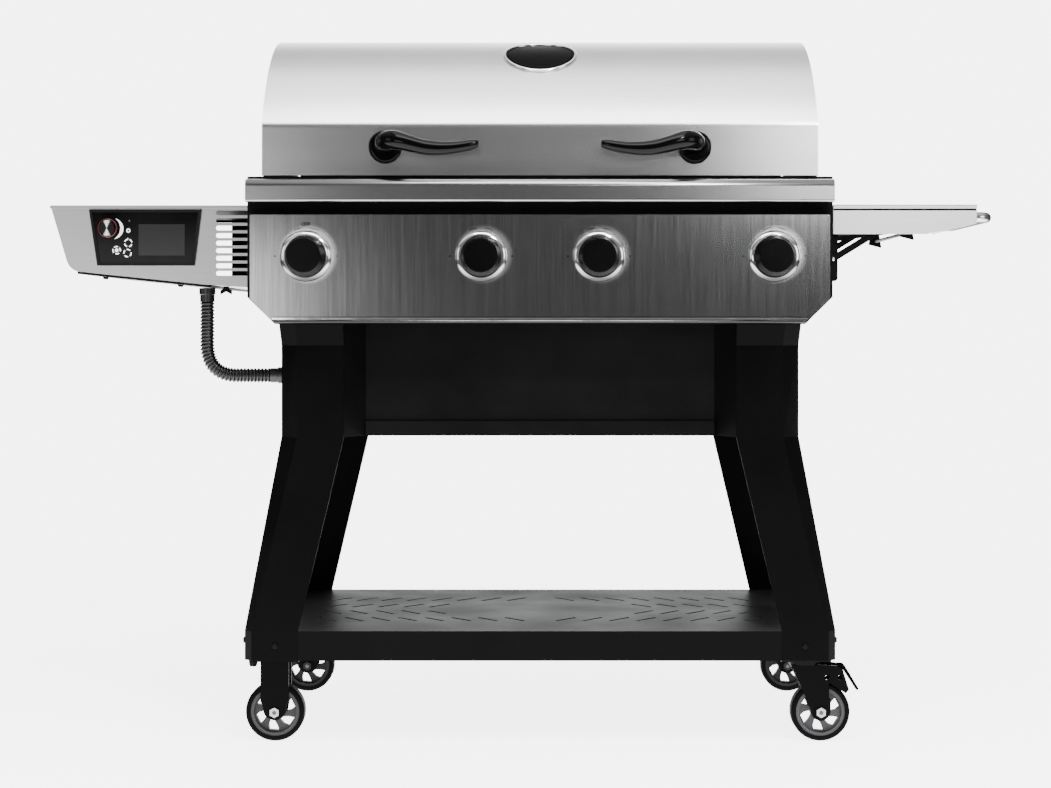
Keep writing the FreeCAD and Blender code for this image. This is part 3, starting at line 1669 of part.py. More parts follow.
def folding_brackets():
    """Wall ears, shelf arms, diagonal struts and the release lever that joins both brackets."""
    # Distances from the middle of an ear, inwards: the ear, the arm and the lever; outwards: the strut
    ear_face = bracket_wall / 2
    arm_near = ear_face + running_gap
    arm_far = arm_near + bracket_wall
    lever_near = arm_far + running_gap
    lever_far = lever_near + bracket_wall
    walls, arms, struts, lever_parts = [], [], [], []
    for tag, middle, inward in (("front", -bracket_front_y, 1), ("rear", bracket_rear_y, -1)):
        ear_y = layer(middle, inward, -ear_face, ear_face)
        fold_pin_y = layer(middle, inward, ear_face, arm_far)
        strut_pin_y = layer(middle, inward, -arm_far, -ear_face)
        walls.append(wall_bracket(tag, middle, ear_y, fold_pin_y, strut_pin_y))
        arm_y = layer(middle, inward, arm_near, arm_far)
        lever_y = layer(middle, inward, lever_near, lever_far)
        arms.append(shelf_arm(tag, arm_y, layer(middle, inward, arm_far, lever_far)))
        strut_y = layer(middle, inward, -arm_far, -arm_near)
        struts.append(shelf_strut(tag, strut_y, layer(middle, inward, -arm_near, ear_face)))
        lever_parts.append(lever_plate(tag, lever_y))
    rod_span = (lever_far - bracket_front_y, bracket_rear_y - lever_far)
    rod_z = lever_low_z + bracket_wall * 4
    link_rod = bracket_rod("lever_rod", lever_pin_radius, lever_x, rod_span, rod_z)
    sub_part("shelf_wall_brackets", walls)
    sub_part("shelf_arms", arms)
    sub_part("shelf_struts", struts)
    sub_part("release_lever", [fuse("release_lever_frame", lever_parts + [link_rod])])


# Casters

def wheel(name, x, y):
    """Soft tyre on a moulded rim with slanted openings between swept spokes."""
    half = tyre_width / 2
    seat = wheel_radius - tyre_depth
    tyre = turned(
        name + "_tyre",
        [
            (seat, -half),
            (wheel_radius - tyre_shoulder, -half, tyre_shoulder),
            (wheel_radius, tyre_shoulder - half),
            (wheel_radius, half - tyre_shoulder, tyre_shoulder),
            (wheel_radius - tyre_shoulder, half),
            (seat, half),
        ],
    )
    facing_front(tyre, x, y, wheel_radius)
    inner = seat - rim_band
    bore = axle_radius + pin_clearance
    band = turned(
        name + "_band",
        [
            (inner, -rim_width / 2),
            (seat, -rim_width / 2),
            (seat, rim_width / 2),
            (inner, rim_width / 2),
        ],
    )
    facing_front(band, x, y, wheel_radius)
    hub = turned(
        name + "_hub",
        [
            (bore, -hub_length / 2),
            (hub_radius, -hub_length / 2),
            (hub_radius, hub_length / 2),
            (bore, hub_length / 2),
        ],
    )
    facing_front(hub, x, y, wheel_radius)
    openings = []
    spokes = 6
    for number in range(spokes):
        turn_by = 360 / spokes * number
        corners = []
        for share, angle in ((0.16, -2), (0.16, 24), (0.5, 37), (0.9, 40), (0.9, 12), (0.6, 4)):
            reach = hub_radius + (inner - hub_radius) * share
            corners.append((
                x + reach * math.cos(math.radians(turn_by + angle)),
                wheel_radius + reach * math.sin(math.radians(turn_by + angle)),
            ))
        openings.append(corners)
    web = prism(
        name + "_web",
        "XZ_Plane",
        openings,
        y - web_thickness / 2,
        y + web_thickness / 2,
        [(x, wheel_radius, inner + rim_band / 2), (x, wheel_radius, (hub_radius + bore) / 2)],
    )
    sub_part(name, [tyre, fuse(name + "_rim", [band, web, hub])])


def axle(name, x, y):
    """A hexagon bolt and nut through the fork and hub."""
    reach = hub_length / 2 + running_gap + fork_wall
    shank = rod(name + "_shank", axle_radius, reach * 2, (x, y - reach, wheel_radius), "y")
    corner = axle_head_flats / math.sqrt(3)
    ends = []
    for low in (y - reach - axle_head_height, y + reach):
        hexagon = []
        for number in range(6):
            angle = math.radians(60 * number + 30)
            hexagon.append((x + corner * math.cos(angle), wheel_radius + corner * math.sin(angle)))
        ends.append(prism(name + "_hexagon", "XZ_Plane", [hexagon], low, low + axle_head_height))
    return fuse(name, [shank] + ends)


def fork_sides(name, top_x, axle_x, y, top, left_edge, right_edge, holes=()):
    """Two cheeks from the crown down to a round end at the axle."""
    half = fork_top_width / 2
    near = hub_length / 2 + running_gap
    cheeks = []
    for low_y in (y - near - fork_wall, y + near):
        cheeks.append(prism(
            name + "_cheek",
            "XZ_Plane",
            [[(top_x - half, top)] + list(left_edge) + [
                (axle_x - fork_end_radius, wheel_radius, fork_end_radius * arc_slack),
                (axle_x + fork_end_radius, wheel_radius),
            ] + list(right_edge) + [(top_x + half, top)]],
            low_y,
            low_y + fork_wall,
            [(axle_x, wheel_radius, axle_radius)] + list(holes),
        ))
    return cheeks


def mounting_plate(name, x, y):
    half_x = caster_plate_length / 2
    half_y = caster_plate_width / 2
    return box(
        name,
        (x - half_x, x + half_x),
        (y - half_y, y + half_y),
        (caster_height - fork_wall, caster_height),
    )


def crown(name, x, y, low, high):
    half = fork_top_width / 2
    reach = hub_length / 2 + running_gap + fork_wall
    return box(name, (x - half, x + half), (y - reach, y + reach), (low, high))


def rigid_casters():
    members = []
    for tag, y in (("front", -caster_y), ("rear", caster_y)):
        name = f"{tag}_left_fork"
        top = caster_height - fork_wall
        shoulder = wheel_radius + fork_shoulder
        half = fork_top_width / 2
        pieces = fork_sides(
            name, -caster_x, -caster_x, y, top,
            [(-caster_x - half, shoulder)],
            [(half - caster_x, shoulder)],
        )
        pieces.append(mounting_plate(name + "_plate", -caster_x, y))
        pieces.append(crown(name + "_crown", -caster_x, y, top - fork_wall, top))
        members.append(fuse(name, pieces))
        members.append(axle(f"{tag}_left_axle", -caster_x, y))
        wheel(f"{tag}_left_wheel", -caster_x, y)
    sub_part("rigid_caster_forks", members)


def swivel_casters():
    plates = []
    for tag, y in (("front", -caster_y), ("rear", caster_y)):
        name = f"{tag}_right"
        axle_x = caster_x + swivel_trail
        plate_low = caster_height - fork_wall
        race_low = plate_low - raceway_height
        crown_top = race_low - running_gap
        crown_low = crown_top - fork_wall
        plate = mounting_plate(name + "_plate", caster_x, y)
        race = rod(name + "_race", raceway_radius, raceway_height, (caster_x, y, race_low), "z")
        kingpin = rod(
            name + "_kingpin",
            kingpin_radius,
            fork_wall + running_gap,
            (caster_x, y, crown_low),
            "z",
        )
        plates.append(fuse(name + "_swivel", [plate, race, kingpin]))

        pivot_x = caster_x + pedal_pivot_out
        pivot_z = caster_height - pedal_pivot_drop
        eye = pedal_pin_radius * 2
        brake_ear = [
            (axle_x + fork_end_radius, wheel_radius + ear_root_rise),
            (axle_x + ear_tip_out - ear_tip_width, wheel_radius + ear_tip_rise - ear_tip_width),
            (axle_x + ear_tip_out, wheel_radius + ear_tip_rise),
            (pivot_x + ear_crest, pivot_z),
            (pivot_x + eye, pivot_z + eye),
        ]
        ear_holes = []
        for out in (ear_inner_hole_out, ear_outer_hole_out):
            ear_holes.append((axle_x + out, wheel_radius + ear_hole_rise, ear_hole_radius))
        cheeks = fork_sides(name + "_fork", caster_x, axle_x, y, crown_top, [], brake_ear, ear_holes)
        top = crown(name + "_crown", caster_x, y, crown_low, crown_top)
        near = hub_length / 2 + running_gap
        pin = rod(
            name + "_pedal_pin",
            pedal_pin_radius,
            near * 2,
            (pivot_x, y - near, pivot_z),
            "y",
        )
        bored = cut(
            name + "_fork_bored",
            fuse(name + "_fork_form", cheeks + [top, pin]),
            [rod(
                name + "_kingpin_bore",
                kingpin_radius + pin_clearance,
                fork_wall * 3,
                (caster_x, y, crown_low - fork_wall),
                "z",
            )],
        )
        sub_part(name + "_fork", [bored, axle(name + "_axle", axle_x, y)])

        half = pedal_width / 2
        lever = prism(
            name + "_pedal_plate",
            "XZ_Plane",
            [[
                (pivot_x - eye, pivot_z + eye),
                (pivot_x - eye, pivot_z - eye / 2),
                (pivot_x + eye / 2, pivot_z - eye),
                (pivot_x + pedal_knee - pedal_wall, pivot_z + eye - pedal_wall * 2),
                (pivot_x + pedal_reach - pedal_wall, pivot_z - pedal_drop + pedal_wall),
                (pivot_x + pedal_reach + pedal_toe - pedal_wall, pivot_z - pedal_drop - pedal_toe),
                (pivot_x + pedal_reach + pedal_toe, pivot_z - pedal_drop - pedal_toe + pedal_wall),
                (pivot_x + pedal_reach, pivot_z - pedal_drop + pedal_wall * 2),
                (pivot_x + pedal_knee, pivot_z + eye),
            ]],
            y - half,
            y + half,
            [(pivot_x, pivot_z, pedal_pin_radius + pin_clearance)],
        )
        sub_part(name + "_pedal", [lever])
        wheel(name + "_wheel", axle_x, y)
    sub_part("swivel_caster_plates", plates)


# Pellet feed, fire and drainage

def hopper():
    wall = sheet_wall
    x = (-hopper_half_width, hopper_half_width)
    inner_x = (wall - hopper_half_width, hopper_half_width - wall)
    y = (hopper_front, hopper_rear)
    z = (hopper_bottom, hopper_top)
    front = box("hopper_front_wall", x, (y[0], y[0] + wall), z)
    rear = box("hopper_rear_wall", x, (y[1] - wall, y[1]), z)
    side_y = (y[0] + wall, y[1] - wall)
    right = box("hopper_right_wall", (inner_x[1], x[1]), side_y, z)
    left = mirror("hopper_left_wall", right, AXIS_X)
    holes = []
    mouth_x = throat_half_x - feed_tube_wall
    mouth_y = throat_half_y - feed_tube_wall
    for side in (-1, 1):
        holes.append(rectangle(
            (side * feed_x - mouth_x, side * feed_x + mouth_x),
            (throat_y - mouth_y, throat_y + mouth_y),
        ))
    floor = prism(
        "hopper_floor",
        "XY_Plane",
        [rectangle(inner_x, side_y)] + holes,
        hopper_bottom,
        hopper_bottom + wall,
    )
    hinge_z = hopper_top
    knuckles = []
    for side in (-1, 1):
        start = hopper_knuckle if side > 0 else -hopper_half_width
        length = hopper_half_width - hopper_knuckle
        barrel = rod(
            "hopper_barrel", hopper_hinge_radius, length, (start, hopper_hinge_y, hinge_z), "x"
        )
        bore = rod("hopper_barrel_bore", hopper_pin_radius, length, (start, hopper_hinge_y, hinge_z), "x")
        knuckles.append(cut("hopper_hinge_barrel", barrel, [bore]))
    pin = rod(
        "hopper_hinge_pin",
        hopper_pin_radius,
        hopper_half_width * 2,
        (-hopper_half_width, hopper_hinge_y, hinge_z),
        "x",
    )
    sub_part("hopper_bin", [front, rear, left, right, floor] + knuckles + [pin])

    lid_low = hopper_top + running_gap
    lid_z = (lid_low, lid_low + plate_wall)
    lid_rear = hopper_rear - running_gap * 2
    plate = box("hopper_lid_plate", x, (hopper_front + running_gap, lid_rear), lid_z)
    reach = hopper_knuckle - running_gap
    tongue = box("hopper_lid_tongue", (-reach, reach), (lid_rear, hopper_hinge_y), lid_z)
    # The lid's own knuckle is slimmer, so it swings clear of the bin's rear wall
    barrel_radius = hopper_hinge_radius - running_gap
    barrel = rod("lid_barrel", barrel_radius, reach * 2, (-reach, hopper_hinge_y, hinge_z), "x")
    grip = box(
        "hopper_lid_grip",
        (-hopper_knuckle / 2, hopper_knuckle / 2),
        (hopper_front + plate_wall * 4, hopper_front + plate_wall * 6),
        (lid_z[1], lid_z[1] + plate_wall * 8),
    )
    bore = rod(
        "lid_barrel_bore",
        hopper_pin_radius + pin_clearance,
        reach * 2,
        (-reach, hopper_hinge_y, hinge_z),
        "x",
    )
    clearance = box(
        "lid_wall_clearance",
        (-hopper_half_width, hopper_half_width),
        (hopper_rear - hopper_hinge_radius, hopper_rear + running_gap),
        (hopper_top - hopper_hinge_radius * 2, hopper_top + running_gap),
    )
    lid = fuse("hopper_lid_form", [plate, tongue, barrel, grip])
    sub_part("hopper_lid", [cut("hopper_lid_plate_set", lid, [bore, clearance])])


def feed_sets():
    """Auger tubes with their throats, gear motors, augers, fire pots with igniters, and blowers."""
    tubes, motors, pots, blowers = [], [], [], []
    tube_front = pot_radius + running_gap - pot_y
    tube_length = feed_tube_rear - tube_front
    for side, tag in ((-1, "left"), (1, "right")):
        x = side * feed_x
        outside = rod(f"{tag}_tube_outside", feed_tube_radius, tube_length, (x, tube_front, feed_z), "y")
        throat = box(
            f"{tag}_throat",
            (x - throat_half_x, x + throat_half_x),
            (throat_y - throat_half_y, throat_y + throat_half_y),
            (feed_z, hopper_bottom),
        )
        bore_radius = feed_tube_radius - feed_tube_wall
        bore = rod(f"{tag}_tube_bore", bore_radius, tube_length, (x, tube_front, feed_z), "y")
        throat_hollow = box(
            f"{tag}_throat_hollow",
            (x - throat_half_x + feed_tube_wall, x + throat_half_x - feed_tube_wall),
            (throat_y - throat_half_y + feed_tube_wall, throat_y + throat_half_y - feed_tube_wall),
            (feed_z, hopper_bottom),
        )
        solid = fuse(f"{tag}_tube_solid", [outside, throat])
        tubes.append(cut(f"{tag}_feed_tube", solid, [bore, throat_hollow]))

        gearbox = box(
            f"{tag}_gearbox",
            (x - motor_half_width, x + motor_half_width),
            (feed_tube_rear, feed_tube_rear + gearbox_depth),
            (feed_z - motor_half_width, feed_z + motor_half_width),
        )
        can = rod(
            f"{tag}_motor_can",
            motor_can_radius,
            motor_can_depth,
            (x, feed_tube_rear + gearbox_depth, feed_z),
            "y",
        )
        socket = rod(
            f"{tag}_motor_socket",
            auger_shaft_radius + pin_clearance,
            motor_socket_depth,
            (x, feed_tube_rear, feed_z),
            "y",
        )
        motors.append(cut(f"{tag}_motor", fuse(f"{tag}_motor_form", [gearbox, can]), [socket]))

        cup = turned(
            f"{tag}_pot_cup",
            [
                (air_hole_radius, 0),
                (pot_radius, 0),
                (pot_radius, pot_height),
                (pot_radius - pot_wall, pot_height),
                (pot_radius - pot_wall, pot_wall),
                (air_hole_radius, pot_wall),
            ],
        )
        place(cup, x, -pot_y, deck_top)
        inlet = rod(f"{tag}_pot_inlet", bore_radius, pot_radius, (x, -pot_y, feed_z), "y")
        glow_start = (x, -pot_y - pot_radius - running_gap, igniter_z)
        glow_hole = rod(f"{tag}_igniter_hole", igniter_radius, pot_radius, glow_start, "y")
        pots.append(cut(f"{tag}_fire_pot", cup, [inlet, glow_hole]))
        pots.append(rod(
            f"{tag}_igniter",
            igniter_radius,
            igniter_length,
            (x, pot_wall - pot_y - pot_radius - igniter_length, igniter_z),
            "y",
        ))

        blower = turned(
            f"{tag}_blower",
            [
                (0, 0),
                (blower_radius, 0),
                (blower_radius, blower_height),
                (blower_neck_radius, blower_height),
                (blower_neck_radius, blower_height + blower_neck),
                (0, blower_height + blower_neck),
            ],
        )
        place(blower, x, -pot_y, leg_top - blower_height - blower_neck)
        blowers.append(blower)
        auger(f"{tag}_auger", x, tube_front, tube_length)
    sub_part("feed_tubes", tubes)
    sub_part("feed_motors", motors)
    sub_part("fire_pots", pots)
    sub_part("blowers", blowers)


def auger(name, x, tube_front, tube_length):
    """A screw with one helical flight on a shaft that reaches into the gear motor."""
    shaft_length = tube_length + auger_engagement
    shaft = rod(name + "_shaft", auger_shaft_radius, shaft_length, (x, tube_front, feed_z), "y")
    flight_length = tube_length.value - auger_pitch.value
    inner = auger_shaft_radius.value - auger_flight_wall.value / 2
    outer = auger_radius.value
    helix = Part.makeHelix(auger_pitch.value, flight_length, outer)
    half = auger_flight_wall.value / 2
    corners = [
        FreeCAD.Vector(inner, 0, -half),
        FreeCAD.Vector(outer, 0, -half),
        FreeCAD.Vector(outer, 0, half),
        FreeCAD.Vector(inner, 0, half),
    ]
    profile = Part.makePolygon(corners + corners[:1])
    flight = doc.addObject("Part::Feature", name + "_flight")
    flight.Shape = Part.Wire(helix).makePipeShell([profile], True, True)
    turn(flight, AXIS_X, -90)
    place(flight, x, tube_front + auger_flight_wall, feed_z)
    sub_part(name, [fuse(name + "_screw", [shaft, flight])])


def heat_deflectors():
    members = []
    for side in (-1, 1):
        x = side * feed_x
        wall = plate_wall
        half = deflector_half_width
        outline = [
            (x - half, deck_top),
            (x - half + wall, deck_top),
            (x - half + wall, deflector_eave - wall),
            (x, deflector_ridge - wall),
            (x + half - wall, deflector_eave - wall),
            (x + half - wall, deck_top),
            (x + half, deck_top),
            (x + half, deflector_eave),
            (x, deflector_ridge),
            (x - half, deflector_eave),
        ]
        members.append(prism("heat_deflector", "XZ_Plane", [outline], -deflector_front, deflector_rear))
    sub_part("heat_deflectors", members)


def drainage():
    reach = firebox_half_width - plate_wall - running_gap
    outer_x = (-reach, reach)
    outer_y = (-drip_front, drip_rear)
    tray = box("drip_tray_block", outer_x, outer_y, (tray_seat, tray_seat + drip_wall_height))
    hollow = box(
        "drip_tray_hollow",
        (sheet_wall - reach, reach - sheet_wall),
        (sheet_wall - drip_front, drip_rear - sheet_wall),
        (tray_seat + sheet_wall, tray_seat + drip_wall_height * 2),
    )
    spout = rod("drain_spout", drain_radius, tray_seat - drain_low_z, (0, -cup_y, drain_low_z), "z")
    spout_bore = rod(
        "drain_bore",
        drain_radius - sheet_wall,
        tray_seat - drain_low_z + sheet_wall * 2,
        (0, -cup_y, drain_low_z),
        "z",
    )
    formed = fuse("drip_tray_form", [cut("drip_tray_shell", tray, [hollow]), spout])
    sub_part("drip_tray", [cut("drained_drip_tray", formed, [spout_bore])])
    cup = turned(
        "grease_cup_form",
        [
            (0, 0),
            (cup_radius, 0),
            (cup_radius, cup_height),
            (cup_radius - sheet_wall, cup_height),
            (cup_radius - sheet_wall, sheet_wall),
            (0, sheet_wall),
        ],
    )
    place(cup, 0, -cup_y, knee_height + plate_wall)
    sub_part("grease_cup", [cup])


def cooking_grates():
    """Flat bars on two cross bars, three grates side by side."""
    inside = (firebox_half_width - plate_wall - side_ledge) * 2
    width = (inside - grate_gap * (grate_count + 1)) / grate_count
    front = plate_wall + running_gap - firebox_front
    depth = firebox_rear - running_gap - front
    half_depth = grate_rail_width / 2
    members = []
    for number in range(grate_count):
        left = grate_gap * (number + 1) + width * number - inside / 2
        rods = []
        pitch = (width - grate_bar_width) / (bars_per_grate - 1)
        for index in range(bars_per_grate):
            bar_left = left + pitch * index
            rods.append(box(
                "grate_bar",
                (bar_left, bar_left + grate_bar_width),
                (front, front + depth),
                (grate_seat + half_depth / 2, grate_seat + half_depth * 3 / 2),
            ))
        for y in (front, front + depth - grate_rail_width):
            rods.append(box(
                "grate_cross_bar",
                (left, left + width),
                (y, y + grate_rail_width),
                (grate_seat, grate_seat + half_depth),
            ))
        members.append(fuse("cooking_grate", rods))
    sub_part("cooking_grates", members)


def temperature_probe():
    stem = rod(
        "probe_stem",
        probe_radius,
        probe_reach + plate_wall,
        (0, firebox_rear - probe_reach, probe_z),
        "y",
    )
    flange = rod(
        "probe_flange", probe_radius * 3, plate_wall * 2, (0, firebox_rear + plate_wall, probe_z), "y"
    )
    sub_part("temperature_probe", [fuse("probe", [stem, flange])])


# Fasteners

def screw_head(name):
    return turned(
        name,
        [
            (0, 0),
            (screw_radius, 0),
            (screw_radius, screw_edge),
            (screw_flat_radius, screw_height),
            (0, screw_height),
        ],
    )


def frame_screws():
    """Screw heads on the feet and under the left shelf, and the wing screw that clamps that shelf."""
    screw_z = caster_height + foot_height / 2
    middle_x = (foot_inner_x + foot_outer_x - foot_chamfer) / 2
    side_y = foot_front - foot_chamfer - leg_side_width / 2
    members = []
    for side in (-1, 1):
        for front in (-1, 1):
            face = screw_head("foot_screw")
            turn(face, AXIS_X, 90 if front < 0 else -90)
            place(face, side * middle_x, front * foot_front, screw_z)
            flank = screw_head("foot_side_screw")
            turn(flank, AXIS_Y, 90 * side)
            place(flank, side * foot_outer_x, front * side_y, screw_z)
            members += [face, flank]
    rise = (wing_x - firebox_half_width - screw_radius) / (shelf_knee_x - firebox_half_width)
    wing_z = shelf_root_z + (shelf_knee_z - shelf_root_z) * rise
    wing_half = screw_radius * 2
    stem = rod(
        "wing_stem", screw_radius, screw_height * 2, (-wing_x, -hose_y, wing_z - screw_height * 2), "z"
    )
    wing = prism(
        "wing_plate",
        "XZ_Plane",
        [[
            (-wing_x - screw_radius, wing_z - screw_height),
            (-wing_x - wing_half, wing_z - screw_height * 2),
            (-wing_x - wing_half, wing_z - screw_height * 4),
            (-wing_x, wing_z - screw_height * 2.5),
            (wing_half - wing_x, wing_z - screw_height * 4),
            (wing_half - wing_x, wing_z - screw_height * 2),
            (screw_radius - wing_x, wing_z - screw_height),
        ]],
        -hose_y - sheet_wall,
        sheet_wall - hose_y,
    )
    members.append(fuse("wing_screw", [stem, wing]))
    sub_part("frame_screws", members)


def write_parts():
    doc.recompute()
    for item in doc.Objects:
        if "Invalid" in item.State or "Error" in item.State:
            raise RuntimeError(f"{item.Name} failed: {item.State}")
    os.makedirs("parts", exist_ok=True)
    for item in sub_parts:
        if item.Shape.isNull() or not item.Shape.isValid():
            raise RuntimeError(f"{item.Label} has no valid shape")
        item.Shape.exportStep(f"parts/{item.Label}.step")


legs()
bottom_shelf()
cabinet()
power_inlet()
firebox()
back_panel()
front_rail()
control_panel()
knob_bezels()
knobs()
hood()
hood_hinges()
horn_handle("left_handle", -1)
horn_handle("right_handle", 1)
left_shelf()
controller()
conduit()
conduit_glands()
right_shelf()
shelf_bar()
folding_brackets()
rigid_casters()
swivel_casters()
hopper()
feed_sets()
heat_deflectors()
drainage()
cooking_grates()
temperature_probe()
frame_screws()
write_parts()
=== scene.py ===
import math

import bmesh
import bpy
from mathutils import Matrix, Vector


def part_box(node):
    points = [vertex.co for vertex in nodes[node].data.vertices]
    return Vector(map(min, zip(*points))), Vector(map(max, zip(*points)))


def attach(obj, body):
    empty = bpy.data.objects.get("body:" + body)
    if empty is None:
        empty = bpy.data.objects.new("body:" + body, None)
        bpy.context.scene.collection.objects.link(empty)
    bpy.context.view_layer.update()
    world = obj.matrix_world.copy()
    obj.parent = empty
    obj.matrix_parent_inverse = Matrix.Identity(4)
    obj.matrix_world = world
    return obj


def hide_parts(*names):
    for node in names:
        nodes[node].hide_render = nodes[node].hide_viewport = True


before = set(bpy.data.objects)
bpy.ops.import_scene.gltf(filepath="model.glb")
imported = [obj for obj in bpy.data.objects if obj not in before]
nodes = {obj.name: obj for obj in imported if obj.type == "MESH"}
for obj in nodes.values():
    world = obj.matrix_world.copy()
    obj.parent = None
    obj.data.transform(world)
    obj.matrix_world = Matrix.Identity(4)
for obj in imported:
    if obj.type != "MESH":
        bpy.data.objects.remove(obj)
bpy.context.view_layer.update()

# Photograph and camera
PHOTO_WIDTH = 1051
PHOTO_HEIGHT = 788
FOCAL_PIXELS = 2025
EYE_PIXEL_X = 545
EYE_PIXEL_Y = 330
SENSOR_WIDTH = 36
CAMERA_RIGHT = 0.0084
CAMERA_FRONT = 3.690
CAMERA_HEIGHT = 0.698

# Middle of the cooking body, from which the grill's own places are measured
HOOD_REACH = 0.300
hood_low, hood_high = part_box("hood_skin")
BODY_X = (hood_low[0] + hood_high[0]) / 2
BODY_Y = hood_low[1] + HOOD_REACH

# Places in millimetres from the middle of the body
PANEL_FRONT = -320.0
KNOB_PLACES = (-390, -98, 98, 390)
KNOB_Z = 821
GLASS_FRONT = -264.0
DIAL_X = -730
DIAL_Z = 870
CASTER_Y = 238
CASTER_ROWS = (("front", -CASTER_Y), ("rear", CASTER_Y))
AXLE_Z = 50
# Printed marks, and strips of painted light and shade, stand this far in front of the face that they
# are on
PRINT_AND_SHADE_LIFT = 0.15

# Directions and turns
FORWARD = (0, -1, 0)
DOWN = (0, 0, -1)
FULL_TURN = 360
# A face whose normal reaches this along an axis faces that way
SQUARE_ON = 0.9

# Texture: most noise values lie between these two
NOISE_LOW = 0.3
NOISE_HIGH = 0.7
# Scales of the broad clouds in sheet and coating, and of the smears on polished metal
CLOUD_SCALE = 7
SMEAR_SCALE = 35
# A grain is noise with a small stretch value along it
GRAIN_X = (0.012, 1, 1)
GRAIN_UP = (1, 1, 0.03)
QUARTER_TURN = 0.25
# Along X, with a little of the other axes so that end faces have a direction too
NEARLY_X = (1.0, 0.02, 0.01)


def at(x, y, z):
    """A place in the shared frame, from millimetres counted from the middle of the body."""
    return Vector((BODY_X + x / 1000, BODY_Y + y / 1000, z / 1000))


# Materials

def map_range(tree, value, low, high, to_low, to_high, smooth=False):
    """Maps a value of a node tree from one range to another, with soft ends where asked."""
    item = tree.nodes.new("ShaderNodeMapRange")
    item.interpolation_type = "SMOOTHSTEP" if smooth else "LINEAR"
    item.inputs["From Min"].default_value = low
    item.inputs["From Max"].default_value = high
    item.inputs["To Min"].default_value = to_low
    item.inputs["To Max"].default_value = to_high
    tree.links.new(value, item.inputs["Value"])
    return item.outputs["Result"]


